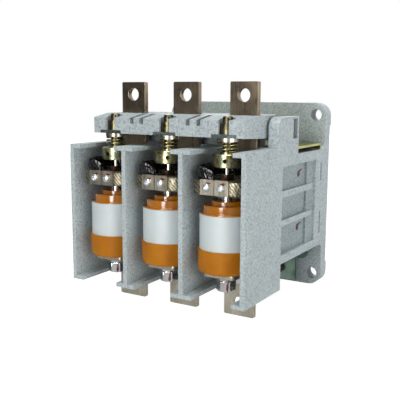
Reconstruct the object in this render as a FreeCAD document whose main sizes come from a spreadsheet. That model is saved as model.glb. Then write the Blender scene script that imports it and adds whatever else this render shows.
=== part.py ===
# A three-pole vacuum contactor for panel mounting, in millimetres, +Z up.
# The origin is the centre of the four mounting holes, on the rear mounting face (Y = 0).
# X runs along the row of poles, the front of the device faces -Y.
# One moulded frame carries three vacuum interrupters in front and a coil magnet behind them.
# The rocker turns on a shaft above the back wall: the magnet pulls its armature to the rear,
# its cross beam goes down in front and drives the three pull rods through their contact springs.
import FreeCAD, Part
import Sketcher
import math
import os
import re

# Driving dimensions: alias, value and what it is.
SIZES = [
    ("half_width", 84.5, "middle of the frame to its side faces"),
    ("plate_half_height", 86.0, "mounting plate, middle to top edge"),
    ("plate_front", 14.0, "mounting plate thickness with its corner pads"),
    ("plate_corner", 12.0, "corner radius of the mounting plate"),
    ("pad_height", 2.4, "corner pads stand this proud of the plate's rear face"),
    ("pad_width", 24.0, "corner pad along X"),
    ("pad_tall", 21.0, "corner pad along Z"),
    ("hollow_depth", 8.0, "hollows in the rear of the mounting plate"),
    ("hollow_rib", 5.0, "ribs between the rear hollows"),
    ("mount_pitch", 150.0, "mounting hole spacing, both ways"),
    ("mount_bore", 11.0, "mounting hole diameter"),
    ("front_depth", 170.0, "front edges of the partitions from the panel"),
    ("panel_top", 51.2, "top of the front walls"),
    ("panel_bottom", -66.8, "bottom of the front walls"),
    ("side_wall", 4.0, "outer walls and partitions of the pole bays"),
    ("flange_reach", 7.4, "lips along the top and bottom of the walls"),
    ("flange_thick", 3.3, "thickness of these lips"),
    ("back_wall", 8.0, "wall behind the poles"),
    ("back_wall_front", 114.0, "front face of that wall from the panel"),
    ("lower_land", 4.9, "land on the back wall behind the lower terminals"),
    ("bay_wall", 10.5, "side wall of the magnet bay with its bars"),
    ("bay_floor", 6.5, "web left at the bottom of the side windows"),
    ("bay_bottom", -45.0, "lower edge of the magnet bay sides"),
    ("ledge_height", 44.3, "top of the magnet bay sides and ledge line"),
    ("ledge_step", 0.4, "side face above the ledge line is set in"),
    ("window_top", 35.7, "top of the upper side window"),
    ("window_bottom", -37.8, "bottom of the lower side window"),
    ("upper_bar_top", 15.6, "upper window bar"),
    ("upper_bar_bottom", 10.1, "upper window bar"),
    ("lower_bar_top", -8.8, "lower window bar"),
    ("lower_bar_bottom", -13.4, "lower window bar"),
    ("bar_inset", 0.6, "window bars are set in from the side face"),
    ("window_rear", 33.2, "rear edge of the side windows from the panel"),
    ("bar_end", 39.6, "rear end of the window bars from the panel"),
    ("shallow_end", 50.2, "the windows are deeper in front of this distance"),
    ("shallow_depth", 2.0, "depth of their rear part"),
    ("fillet_rail", 4.0, "concave fillet where the rails meet the plate"),
    ("shaft_back", 96.7, "shaft axis from the panel"),
    ("shaft_height", 67.0, "shaft axis above the origin"),
    ("shaft_bore", 8.0, "pivot shaft diameter"),
    ("shaft_end_play", 0.2, "play of the shaft along its axis, at each end"),
    ("shaft_play", 0.05, "radial play of the shaft in its bearings"),
    ("bearing_deep", 9.4, "bearing towers, inner face to the side face of the frame"),
    ("bearing_skin", 2.0, "blind end of the bearing bores"),
    ("tower_front", 114.5, "front of the bearing caps from the panel"),
    ("tower_back", 74.3, "rear of the bearing posts from the panel"),
    ("tower_top", 75.7, "top of the bearing towers"),
    ("tower_round", 9.0, "round on the bearing caps"),
    ("pocket_front", 85.6, "screw pocket in the post, front face from the panel"),
    ("pocket_back", 76.6, "screw pocket in the post, rear face from the panel"),
    ("pocket_top", 74.0, "screw pocket"),
    ("pocket_bottom", 57.4, "screw pocket"),
    ("pocket_depth", 7.2, "screw pocket from the side face"),
    ("cap_screw_height", 60.7, "axis of the cap screws"),
    ("pole_back", 145.0, "pole axes from the panel"),
    ("beam_end_play", 2.3, "air between the ends of the beam and the bearing towers"),
    ("beam_front", 151.8, "front face of the beam from the panel"),
    ("beam_rear", 122.0, "rear face of the beam's front bar"),
    ("beam_bottom", 60.5, "underside of the beam at its front"),
    ("beam_drop", 1.5, "the beam is this much deeper behind its front bar"),
    ("beam_lip", 73.8, "top front edge of the beam"),
    ("beam_top", 77.0, "flat top of the beam"),
    ("beam_rise_end", 133.0, "where the top of the beam becomes flat"),
    ("hub_radius", 10.5, "hub of the rocker round the shaft"),
    ("terminal_play", 2.0, "beam windows clear the terminals by this at each side"),
    ("window_play", 1.8, "beam windows stop this far before the hub"),
    ("rod_slot", 9.3, "slots in the front of the beam at the pull rods"),
    ("rod_bore_play", 0.5, "round nuts in the bores of the beam, radial"),
    ("seat_width", 22.0, "spring seat plates along X"),
    ("seat_thick", 2.7, "spring seat plates"),
    ("seat_rear", 134.0, "rear edge of the seat plates from the panel"),
    ("groove_width", 3.9, "grooves over the beam's ribs"),
    ("groove_pitch", 9.9, "distance between a pair of grooves"),
    ("groove_floor", 69.0, "floor of these grooves"),
    ("groove_rear", 128.0, "rear end of these grooves from the panel"),
    ("lever_front", 102.5, "front face of the armature lever from the panel"),
    ("lever_thick", 5.0, "armature lever plate"),
    ("lever_half", 60.0, "armature lever, middle to its side"),
    ("lever_bottom", -48.0, "lower edge of the armature lever"),
    ("lever_rib", 6.0, "ribs at the lever's sides"),
    ("lever_rib_depth", 9.0, "how far these ribs stand to the rear"),
    ("armature_half", 52.0, "armature, middle to its side"),
    ("armature_thick", 12.0, "armature plate"),
    ("armature_reach", 21.0, "armature, half its height"),
    ("magnet_height", -30.0, "axes of the coils"),
    ("closing_angle", 3.3, "rocker angle from open to closed, degrees"),
    ("pole_air", 0.15, "air left between armature and pole faces when closed"),
    ("coil_offset", 34.0, "coil axes from the middle"),
    ("core_radius", 11.0, "magnet cores"),
    ("pole_shoe", 18.0, "radius of the pole shoes"),
    ("pole_shoe_thick", 4.0, "pole shoes at their thinnest"),
    ("coil_radius", 25.0, "outside of the coil windings"),
    ("bobbin_flange", 2.0, "end flanges of the coil bobbins"),
    ("bobbin_half", 27.0, "bobbin flanges, half their width"),
    ("bobbin_reach", 29.0, "bobbin flanges, half their height"),
    ("bobbin_wall", 1.5, "tube of the coil bobbins"),
    ("yoke_thick", 12.0, "magnet yoke"),
    ("yoke_half", 62.0, "magnet yoke, middle to its end"),
    ("yoke_reach", 26.0, "magnet yoke, half its height"),
    ("sheet_thick", 2.0, "sheet of the magnet bracket"),
    ("bracket_back", 20.0, "rear face of the magnet bracket from the panel"),
    ("bracket_top", 50.0, "top edge of the bracket's sides"),
    ("bracket_bottom", -60.0, "lower edge of the bracket's back"),
    ("bracket_front", 76.0, "front edge of the bracket's sides from the panel"),
    ("bracket_low", -46.0, "lower edge of the bracket's sides"),
    ("bracket_cut_front", 54.0, "cut-out in the bracket's sides, front edge"),
    ("bracket_cut_rear", 28.0, "cut-out in the bracket's sides, rear edge"),
    ("bracket_cut_top", 36.0, "cut-out in the bracket's sides"),
    ("bracket_cut_bottom", -37.0, "cut-out in the bracket's sides"),
    ("bracket_corner", 6.0, "rounded lower corners of the bracket"),
    ("shelf_inset", 0.8, "top of the bracket is set in from the frame's side"),
    ("shelf_front", 73.6, "front edge of the bracket's top from the panel"),
    ("foot_inner", 32.0, "bracket feet, inner edge"),
    ("foot_step", 11.9, "the bracket feet end this far inside its sides"),
    ("foot_bottom", -82.0, "lower edge of the bracket feet"),
    ("seating", 0.3, "gap where a loose seat stays clear"),
    ("terminal_width", 25.0, "upper terminal bars"),
    ("terminal_thick", 5.0, "upper terminal bars"),
    ("terminal_top", 103.8, "top of the upper terminal bars"),
    ("terminal_low", 12.0, "lower end of the upper terminal bars"),
    ("terminal_bore", 11.0, "terminal holes, for M10"),
    ("terminal_edge", 10.8, "terminal hole to the end of its bar"),
    ("lower_width", 28.0, "lower terminal bars"),
    ("lower_thick", 4.0, "lower terminal bars"),
    ("lower_end", -89.5, "end of the lower terminal bars"),
    ("lower_front", 158.0, "front edge of the interrupter shelf of these bars"),
    ("ceramic_radius", 21.5, "ceramic envelope"),
    ("ceramic_wall", 3.5, "ceramic envelope wall"),
    ("ceramic_top", -0.8, "top of the ceramic"),
    ("cup_radius", 22.8, "bottom cup of the interrupter"),
    ("cup_top", -25.4, "upper rim of the bottom cup"),
    ("cup_bottom", -45.0, "bottom of the cup, on the lower terminal"),
    ("cup_floor", 3.0, "floor of the bottom cup"),
    ("cup_play", 0.1, "cup and ceramic, radial"),
    ("cap_lip_top", 2.4, "top of the cap's rim"),
    ("cap_shoulder", 17.5, "radius of the cap's shoulder"),
    ("cap_shoulder_top", 8.8, "top of the cap's shoulder"),
    ("cap_neck", 11.4, "radius of the cap's neck"),
    ("cap_neck_top", 11.8, "top of the cap's neck"),
    ("cap_wall", 3.0, "wall of the cap"),
    ("stem_radius", 4.5, "moving stem"),
    ("stem_play", 0.5, "moving stem in the cap, radial"),
    ("contact_radius", 13.0, "contact discs"),
    ("contact_thick", 5.0, "contact discs"),
    ("contact_plane", -14.0, "middle of the open contact gap"),
    ("contact_gap", 1.9, "open gap between the contacts"),
    ("fixed_radius", 5.0, "fixed stem"),
    ("stud_radius", 4.0, "threaded stud under the fixed stem"),
    ("stud_end", -62.0, "end of the stud"),
    ("shield_radius", 16.3, "vapour shield"),
    ("shield_wall", 0.8, "vapour shield"),
    ("shield_top", -5.0, "upper rim of the vapour shield"),
    ("bellows_radius", 8.5, "bellows"),
    ("bellows_low", -7.6, "lower end of the bellows"),
    ("washer_thick", 1.6, "flat washers M8"),
    ("washer_radius", 8.0, "flat washers M8"),
    ("spring_washer_thick", 2.1, "spring washers M8"),
    ("spring_washer_radius", 7.3, "spring washers M8"),
    ("nut_flats", 13.0, "hexagon nuts M8, across flats"),
    ("nut_height", 6.5, "hexagon nuts M8"),
    ("rod_radius", 4.0, "pull rods M8"),
    ("rod_top", 77.0, "top of the pull rods"),
    ("round_nut", 5.8, "round nuts on the pull rods, radius"),
    ("round_nut_height", 8.0, "these nuts, which stand on the seat plates"),
    ("rod_neck", 3.0, "lower part of the pull rods, M6"),
    ("collar_radius", 12.0, "round collar nuts on the pull rods"),
    ("collar_top", 48.3, "top of the collars"),
    ("collar_bottom", 38.0, "bottom of the collars"),
    ("collar_step", 1.0, "step on the collars that centres the spring"),
    ("collar_step_radius", 5.9, "radius of that step"),
    ("collar_hole", 1.8, "radial holes in the collars"),
    ("spring_radius", 7.3, "contact springs, middle of the wire"),
    ("spring_wire", 1.5, "contact spring wire"),
    ("spring_turns", 2.9, "contact spring turns"),
    ("spring_cup_thick", 3.0, "steel washers between spring and seat plate"),
    ("spring_cup_rim", 0.25, "rim of these washers outside the spring"),
    ("spring_cup_bore", 5.1, "hole in these washers"),
    ("seat_hole", 4.7, "hole in the seat plates, under the round nuts"),
    ("block_half", 12.5, "clamp block on the stem, along X"),
    ("block_top", 28.0, "top of the clamp block"),
    ("block_bottom", 17.0, "bottom of the clamp block"),
    ("block_front", 160.9, "front face of the clamp block from the panel"),
    ("block_rear", 138.0, "rear face of the clamp block from the panel"),
    ("lock_flats", 10.0, "lock nuts M6, across flats"),
    ("lock_height", 4.2, "lock nuts M6"),
    ("braid_thick", 3.0, "flexible shunt"),
    ("braid_top", 28.4, "flexible shunt, upper edge"),
    ("braid_bottom", 17.2, "flexible shunt, lower edge"),
    ("braid_play", 2.1, "air between a shunt and the walls of its bay"),
    ("clamp_side", 12.0, "square clamp plates"),
    ("clamp_thick", 1.6, "square clamp plates"),
    ("clamp_pitch", 12.6, "distance between the two clamp plates"),
    ("clamp_screw_head", 2.9, "pan heads M3, radius"),
    ("sleeve_thick", 6.0, "insulating sleeve"),
    ("spring_air", 0.05, "air at each end of the springs"),
    ("return_radius", 5.5, "return spring, middle of the wire"),
    ("return_wire", 1.4, "return spring wire"),
    ("return_turns", 8.0, "return spring turns"),
    ("guide_radius", 3.5, "guide pin of the return spring"),
    ("guide_length", 16.0, "guide pin of the return spring"),
    ("fixing_head", 4.0, "M5 screw heads, radius"),
    ("fixing_head_height", 3.2, "M5 screw heads"),
    ("fixing_shank", 2.4, "M5 screws, radius"),
    ("terminal_screw_height", 44.0, "screws of the upper terminals"),
    ("shunt_screw_height", 22.0, "screws that hold the shunts on the terminals"),
    ("lower_screw_height", -57.0, "screws of the lower terminals"),
    ("fixing_depth", 6.5, "M5 screws in their threads"),
    ("fixing_play", 0.2, "clearance holes, radial"),
    ("thread_play", 0.05, "threaded and fitted bores, radial"),
    ("bar_edge", 0.8, "chamfer on the terminal bars"),
    ("bend_inside", 1.5, "inside radius of the bent terminals"),
    ("shelf_corner", 3.0, "corners of the interrupter shelf"),
    ("cap_round", 0.8, "rounds on the interrupter's top cap"),
    ("cup_round", 1.5, "round on the bottom cup"),
    ("bellows_fold", 2.0, "depth of the bellows folds"),
    ("bellows_wall", 0.4, "bellows wall"),
    ("cap_screw", 3.0, "bearing cap screws M3"),
    ("cap_screw_head", 3.0, "their heads, radius"),
    ("cap_screw_head_height", 2.6, "their heads"),
    ("cap_screw_grip", 12.0, "their threads in the caps"),
    ("bobbin_corner", 5.0, "corners of the bobbin flanges"),
    ("yoke_edge", 1.0, "chamfer on yoke and armature"),
    ("spring_recess", 3.0, "seat of the return spring in the armature"),
    ("fold_play", 0.1, "sheet parts between walls"),
    ("bracket_side_top", 43.0, "upper edge of the bracket's sides"),
    ("tab_reach", 4.0, "tabs of the bracket in the frame's slots"),
    ("foot_screw_x", 47.0, "bracket screws from the middle"),
    ("foot_screw_height", -72.0, "lower bracket screws"),
    ("head_screw_height", 40.0, "upper bracket screws"),
    ("boss_radius", 6.5, "bosses for the bracket on the mounting plate"),
    ("side_screw", 3.0, "side screws M3 of the bracket"),
    ("side_screw_head", 2.8, "their heads, radius"),
    ("side_screw_sink", 1.8, "counterbore in the window floor"),
    ("side_screw_end", 1.5, "their ends beyond the bracket's sheet"),
    ("side_screw_back", 64.0, "side screws from the panel"),
    ("side_screw_high", 26.0, "upper side screw"),
    ("side_screw_low", -21.0, "lower side screw"),
    ("coil_screw", 4.0, "coil terminal screws"),
    ("coil_screw_x", 65.0, "coil terminal screws from the middle"),
    ("coil_screw_back", 38.0, "coil terminal screws from the panel"),
    ("coil_washer", 4.6, "washers under the coil terminals, radius"),
    ("pad_radius", 6.0, "rubber stops"),
    ("pad_air", 0.1, "air between the rubber stops and the lever"),
    ("pad_offset", 24.0, "rubber stops from the middle"),
    ("pad_level", -20.0, "rubber stops"),
    ("braid_corner", 14.0, "outside corners of the shunt loop"),
    ("clamp_level", 23.6, "clamp screws"),
    ("clamp_screw", 3.0, "clamp screws M3"),
    ("clamp_screw_height", 1.9, "their heads"),
    ("clamp_screw_grip", 5.0, "their threads in the block"),
    ("clamp_corner", 0.8, "corners of the clamp plates"),
    ("block_corner", 3.0, "corners of the clamp block"),
    ("sleeve_tall", 10.5, "insulating sleeve, height of its section"),
    ("sleeve_start", -15.0, "right end of the sleeve round its loop, degrees"),
    ("sleeve_end", 255.0, "left end of the sleeve round its loop, degrees"),
    ("hub_play", 0.02, "shaft in the rocker's hub, radial"),
    ("lever_corner", 5.0, "lower corners of the armature lever"),
    ("lever_sink", 3.4, "counterbores for the armature screws"),
    ("window_corner", 2.0, "corners of the beam's windows"),
    ("armature_screw_x", 40.0, "armature screws from the middle"),
    ("armature_screw_z", 12.0, "armature screws above and below the coil axis"),
    ("collar_turn_left", 3.0, "how far the left collar is screwed round, degrees"),
    ("collar_turn_centre", 30.0, "the same, middle pole"),
    ("collar_turn_right", 20.0, "the same, right pole"),
]

# Places worked out from the sizes above. Y places are negative, because the front faces -Y.
PLACES = {
    "front": "-front_depth",
    "wall_rear": "-(back_wall_front - back_wall)",
    "bay_inside": "half_width - bay_wall",
    "pole_pitch": "(2 * half_width - side_wall) / 3",
    "braid_reach": "(pole_pitch - side_wall) / 2 - braid_play",
    "bearing_inside": "half_width - bearing_deep",
    "beam_half": "bearing_inside - beam_end_play",
    "window_floor": "bay_inside + bay_floor",
    "pole_y": "-pole_back",
    "shaft_y": "-shaft_back",
    "shaft_half": "half_width - bearing_skin - shaft_end_play",
    "terminal_front": "-(back_wall_front + terminal_thick)",
    "land_face": "-(back_wall_front + lower_land)",
    "lower_leg_front": "-(back_wall_front + lower_land + lower_thick)",
    "seat_bottom": "beam_bottom",
    "seat_top": "beam_bottom + seat_thick",
    "spring_top": "beam_bottom - spring_cup_thick",
    "foot_outer": "bay_inside - fold_play - foot_step",
    "armature_front": "-(lever_front - lever_thick)",
    "armature_rear": "-(lever_front - lever_thick - armature_thick)",
    "yoke_front": "-(bracket_back + sheet_thick + yoke_thick)",
    "yoke_rear": "-(bracket_back + sheet_thick)",
    "clamp_front": "-(block_front + braid_thick + clamp_thick)",
    "contact_low": "contact_plane - contact_gap / 2",
    "contact_high": "contact_plane + contact_gap / 2",
    "loop_centre": "-(back_wall_front + terminal_thick + block_front + braid_thick) / 2",
    "loop_depth": "(block_front + braid_thick - back_wall_front - terminal_thick) / 2",
    "shelf_bottom": "cup_bottom - lower_thick",
    "cup_inside": "ceramic_radius + cup_play",
    "cap_screw_x": "half_width - (pocket_depth + ledge_step) / 2",
}

SIDES = [("left", -1), ("right", 1)]
POLES = [("left", -1), ("centre", 0), ("right", 1)]

document = FreeCAD.newDocument("vacuum_contactor")
sheet = document.addObject("Spreadsheet::Sheet", "Sizes")
for row, (alias, value, meaning) in enumerate(SIZES, start=1):
    sheet.set(f"A{row}", meaning)
    sheet.set(f"B{row}", str(value))
    sheet.setAlias(f"B{row}", alias)
document.recompute()

ALIASES = {alias for alias, value, meaning in SIZES}
WORD = re.compile(r"[a-z_]+[a-z0-9_]*")
sub_parts = []


def spell(expression, prefix):
    """Write out the places in an expression, and put the prefix before each alias of the sheet."""
    def replace(match):
        word = match.group(0)
        if word in PLACES:
            return "(" + spell(PLACES[word], prefix) + ")"
        return prefix + word if word in ALIASES else word
    return WORD.sub(replace, expression)


def size(expression):
    """The value of an expression in the sizes, as a number."""
    return float(sheet.evalExpression(spell(str(expression), "")))


def bind(thing, prop, expression):
    """Tie one property to the sizes."""
    thing.setExpression(prop, spell(str(expression), "Sizes."))


def new_body(label):
    body = document.addObject("PartDesign::Body", label)
    body.Label = label
    sub_parts.append(body)
    return body


def sketch_on(body, role, place="0"):
    """A sketch parallel to one of the body's own origin planes, at a place along X, Y or Z."""
    plane = next(item for item in body.Origin.OriginFeatures if item.Role == role)
    sketch = body.newObject("Sketcher::SketchObject", body.Name + "_sketch")
    sketch.AttachmentSupport = (plane, [""])
    sketch.MapMode = "FlatFace"
    sign = "-" if role == "XZ_Plane" else ""
    bind(sketch, "AttachmentOffset.Base.z", f"{sign}({place})")
    return sketch


def dimension(sketch, kind, geometry, point, expression):
    """One horizontal or vertical dimension from the sketch's origin."""
    mark = Sketcher.Constraint(kind, -1, 1, geometry, point, size(expression))
    index = sketch.addConstraint(mark)
    bind(sketch, f"Constraints[{index}]", expression)


def polygon(sketch, corners):
    """A closed outline through corners, each a pair of expressions."""
    start = sketch.GeometryCount
    spots = [FreeCAD.Vector(size(across), size(up), 0) for across, up in corners]
    count = len(spots)
    for number in range(count):
        line = Part.LineSegment(spots[number], spots[(number + 1) % count])
        sketch.addGeometry(line)
    for number in range(count):
        after = start + (number + 1) % count
        sketch.addConstraint(Sketcher.Constraint("Coincident", start + number, 2, after, 1))
    for number, (across, up) in enumerate(corners):
        dimension(sketch, "DistanceX", start + number, 1, across)
        dimension(sketch, "DistanceY", start + number, 1, up)


def rectangle(sketch, left, right, low, high):
    polygon(sketch, [(left, low), (right, low), (right, high), (left, high)])


def circle(sketch, across, up, radius):
    centre = FreeCAD.Vector(size(across), size(up), 0)
    index = sketch.addGeometry(Part.Circle(centre, FreeCAD.Vector(0, 0, 1), size(radius)))
    dimension(sketch, "DistanceX", index, 3, across)
    dimension(sketch, "DistanceY", index, 3, up)
    mark = sketch.addConstraint(Sketcher.Constraint("Radius", index, size(radius)))
    bind(sketch, f"Constraints[{mark}]", radius)


def extrude(body, kind, sketch, length, back=False, both=False):
    """A Pad or a Pocket of a sketch. A Pad follows the plane's normal, a Pocket goes against it."""
    feature = body.newObject("PartDesign::" + kind, body.Name + "_" + kind.lower())
    feature.Profile = sketch
    bind(feature, "Length", length)
    feature.Reversed = back
    if both:
        feature.SideType = "Symmetric"
    body.Tip = feature
    return feature


def mirror(body, features):
    """Repeat features on the other side of the middle plane."""
    plane = next(item for item in body.Origin.OriginFeatures if item.Role == "YZ_Plane")
    copy = body.newObject("PartDesign::Mirrored", body.Name + "_mirror")
    copy.Originals = features
    copy.MirrorPlane = (plane, [""])
    body.Tip = copy
    return copy


def soften(body, kind, amount, chosen):
    """A Fillet or Chamfer on the edges of the body that the chosen function accepts."""
    document.recompute()
    base = body.Tip
    names = [f"Edge{number + 1}" for number, edge in enumerate(base.Shape.Edges) if chosen(edge)]
    feature = body.newObject("PartDesign::" + kind, body.Name + "_" + kind.lower())
    feature.Base = (base, names)
    bind(feature, "Radius" if kind == "Fillet" else "Size", amount)
    body.Tip = feature
    document.recompute()
    return feature


def runs_along(edge, axis):
    """True for a straight edge parallel to an axis."""
    if not isinstance(edge.Curve, (Part.Line, Part.LineSegment)) or len(edge.Vertexes) != 2:
        return False
    step = edge.Vertexes[1].Point - edge.Vertexes[0].Point
    return abs(step.normalize().dot(axis)) > 0.999


def at(edge, x=None, y=None, z=None):
    """True for an edge whose middle has the given coordinates."""
    middle = edge.CenterOfMass
    wanted = [(middle.x, x), (middle.y, y), (middle.z, z)]
    return all(goal is None or abs(have - size(goal)) < 0.05 for have, goal in wanted)


ALONG_X = FreeCAD.Vector(1, 0, 0)
ALONG_Y = FreeCAD.Vector(0, 1, 0)
ALONG_Z = FreeCAD.Vector(0, 0, 1)
WIRE_FLATS = 8


def turned(label, profile, x, y):
    """A body of revolution about a vertical axis at x, y, from an outline of radius and height."""
    body = new_body(label)
    sketch = sketch_on(body, "XZ_Plane")
    polygon(sketch, profile)
    turn = body.newObject("PartDesign::Revolution", body.Name + "_turn")
    turn.Profile = sketch
    turn.ReferenceAxis = (sketch, ["V_Axis"])
    turn.Angle = 360
    body.Tip = turn
    bind(body, "Placement.Base.x", x)
    bind(body, "Placement.Base.y", y)
    return body


def cylinder(radius, length, x, y, z, axis=ALONG_Z):
    """A Part cylinder that starts at x, y, z and runs along an axis."""
    rod = document.addObject("Part::Cylinder", "rod")
    bind(rod, "Radius", radius)
    bind(rod, "Height", length)
    rod.Placement.Rotation = FreeCAD.Rotation(ALONG_Z, axis)
    for letter, place in zip("xyz", (x, y, z)):
        bind(rod, f"Placement.Base.{letter}", place)
    return rod


def hexagon(flats, length, x, y, z):
    """An upright hexagonal prism."""
    prism = document.addObject("Part::Prism", "hexagon")
    prism.Polygon = 6
    bind(prism, "Circumradius", f"({flats}) / sqrt(3)")
    bind(prism, "Height", length)
    for letter, place in zip("xyz", (x, y, z)):
        bind(prism, f"Placement.Base.{letter}", place)
    return prism


def cut(base, tool):
    rest = document.addObject("Part::Cut", "cut")
    rest.Base = base
    rest.Tool = tool
    return rest


def join(pieces):
    whole = document.addObject("Part::MultiFuse", "join")
    whole.Shapes = pieces
    return whole


def ring(outer, inner, length, x, y, z, axis=ALONG_Z):
    """A washer or a tube."""
    hole = cylinder(inner, length, x, y, z, axis)
    return cut(cylinder(outer, length, x, y, z, axis), hole)


def group(label, pieces):
    """Separate solids that share one node, such as identical fasteners."""
    holder = document.addObject("Part::Compound", label)
    holder.Links = pieces
    holder.Label = label
    sub_parts.append(holder)
    return holder


def pole_x(step):
    return f"{step} * pole_pitch"


def coil_of_wire(radius, wire, turns, length):
    """A spring along +Z from its own origin: a wire of eight flats swept along a helix."""
    pitch = (length - wire) / turns
    path = Part.makeHelix(pitch, length - wire, radius)
    path.translate(FreeCAD.Vector(0, 0, wire / 2))
    corners = []
    for step in range(WIRE_FLATS + 1):
        turn = 2 * math.pi * (step + 0.5) / WIRE_FLATS
        corners.append(FreeCAD.Vector(radius + wire / 2 * math.cos(turn), 0,
                                      wire / 2 + wire / 2 * math.sin(turn)))
    section = Part.makePolygon(corners)
    return Part.Wire(path.Edges).makePipeShell([section], True, True)


def shaped(label, shape, x, y, z, axis=ALONG_Z):
    """A sub-part whose shape is made by Part's functions, set down at x, y, z."""
    feature = document.addObject("Part::Feature", label)
    feature.Label = label
    feature.Shape = shape
    spot = FreeCAD.Vector(size(x), size(y), size(z))
    feature.Placement = FreeCAD.Placement(spot, FreeCAD.Rotation(ALONG_Z, axis))
    sub_parts.append(feature)
    return feature


# The moulded frame: mounting plate, magnet bay, back wall and the walls between the poles.
def frame_plate(body):
    """The mounting plate with rounded corners, four rear pads and rear hollows."""
    sketch = sketch_on(body, "XZ_Plane")
    rectangle(sketch, "-half_width", "half_width", "-plate_half_height", "plate_half_height")
    extrude(body, "Pad", sketch, "plate_front")
    soften(body, "Fillet", "plate_corner",
           lambda edge: runs_along(edge, ALONG_Y) and abs(edge.CenterOfMass.x) > 1)
    across, up = "half_width - pad_width", "plate_half_height - pad_tall"
    wide, tall = "half_width", "plate_half_height"
    cross = [(f"-({across})", f"-({tall})"), (across, f"-({tall})"), (across, f"-({up})"),
             (wide, f"-({up})"), (wide, up), (across, up), (across, tall), (f"-({across})", tall),
             (f"-({across})", up), (f"-({wide})", up), (f"-({wide})", f"-({up})"),
             (f"-({across})", f"-({up})")]
    sketch = sketch_on(body, "XZ_Plane")
    polygon(sketch, cross)
    extrude(body, "Pocket", sketch, "pad_height", back=True)
    third = "(plate_half_height - pad_tall) / 3"
    sketch = sketch_on(body, "XZ_Plane")
    for side in (-1, 1):
        edges = sorted((f"{side} * hollow_rib", f"{side} * (half_width - pad_width)"), key=size)
        for row in (-2, 0, 2):
            low = f"{row - 1} * {third} + hollow_rib / 2"
            rectangle(sketch, edges[0], edges[1], low, f"{row + 1} * {third} - hollow_rib / 2")
    extrude(body, "Pocket", sketch, "pad_height + hollow_depth", back=True)


def frame_walls(body):
    """Back wall, outer walls and partitions with their lips along the top and bottom."""
    height = "panel_top - panel_bottom"
    sketch = sketch_on(body, "XY_Plane", "panel_bottom")
    rectangle(sketch, "-half_width", "half_width", "-back_wall_front", "wall_rear")
    extrude(body, "Pad", sketch, height)
    sketch = sketch_on(body, "XY_Plane", "panel_bottom")
    for side in (-1, 1):
        outer = sorted((f"{side} * half_width", f"{side} * (half_width - side_wall)"), key=size)
        rectangle(sketch, outer[0], outer[1], "front", "-back_wall_front")
        middle = f"{side} * pole_pitch / 2"
        rectangle(sketch, f"{middle} - side_wall / 2", f"{middle} + side_wall / 2",
                  "front", "-back_wall_front")
    extrude(body, "Pad", sketch, height)
    for level in ("panel_bottom", "panel_top - flange_thick"):
        sketch = sketch_on(body, "XY_Plane", level)
        for side in (-1, 1):
            middle = f"{side} * pole_pitch / 2"
            reach = "(side_wall / 2 + flange_reach)"
            rectangle(sketch, f"{middle} - {reach}", f"{middle} + {reach}",
                      "front", "-back_wall_front")
            inner = f"{side} * (half_width - side_wall - flange_reach)"
            lip = sorted((f"{side} * half_width", inner), key=size)
            rectangle(sketch, lip[0], lip[1], "front", "-back_wall_front")
        extrude(body, "Pad", sketch, "flange_thick")
    sketch = sketch_on(body, "XZ_Plane", "-back_wall_front")
    for name, step in POLES:
        middle = pole_x(step)
        rectangle(sketch, f"{middle} - lower_width / 2", f"{middle} + lower_width / 2",
                  "panel_bottom", "cup_bottom - lower_thick / 2")
    extrude(body, "Pad", sketch, "lower_land")


def frame_bay(body):
    """Sides of the magnet bay with ladder windows, and the posts that carry the shaft."""
    sketch = sketch_on(body, "XY_Plane", "bay_bottom")
    for side in (-1, 1):
        wall = sorted((f"{side} * half_width", f"{side} * bay_inside"), key=size)
        rectangle(sketch, wall[0], wall[1], "wall_rear", "-plate_front")
    extrude(body, "Pad", sketch, "ledge_height - bay_bottom")
    for rear, level, top in (("-tower_back", "ledge_height", "panel_top"),
                             ("-tower_back", "panel_top", "tower_top")):
        sketch = sketch_on(body, "XY_Plane", level)
        begin = "-tower_front" if level == "ledge_height" else "shaft_y"
        for side in (-1, 1):
            block = sorted((f"{side} * half_width", f"{side} * bearing_inside"), key=size)
            rectangle(sketch, block[0], block[1], begin, rear)
        extrude(body, "Pad", sketch, f"{top} - {level}")
    soften(body, "Fillet", "fillet_rail", lambda edge: runs_along(edge, ALONG_X)
           and (at(edge, y="-plate_front", z="ledge_height")
                or at(edge, y="-plate_front", z="bay_bottom")))


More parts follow.
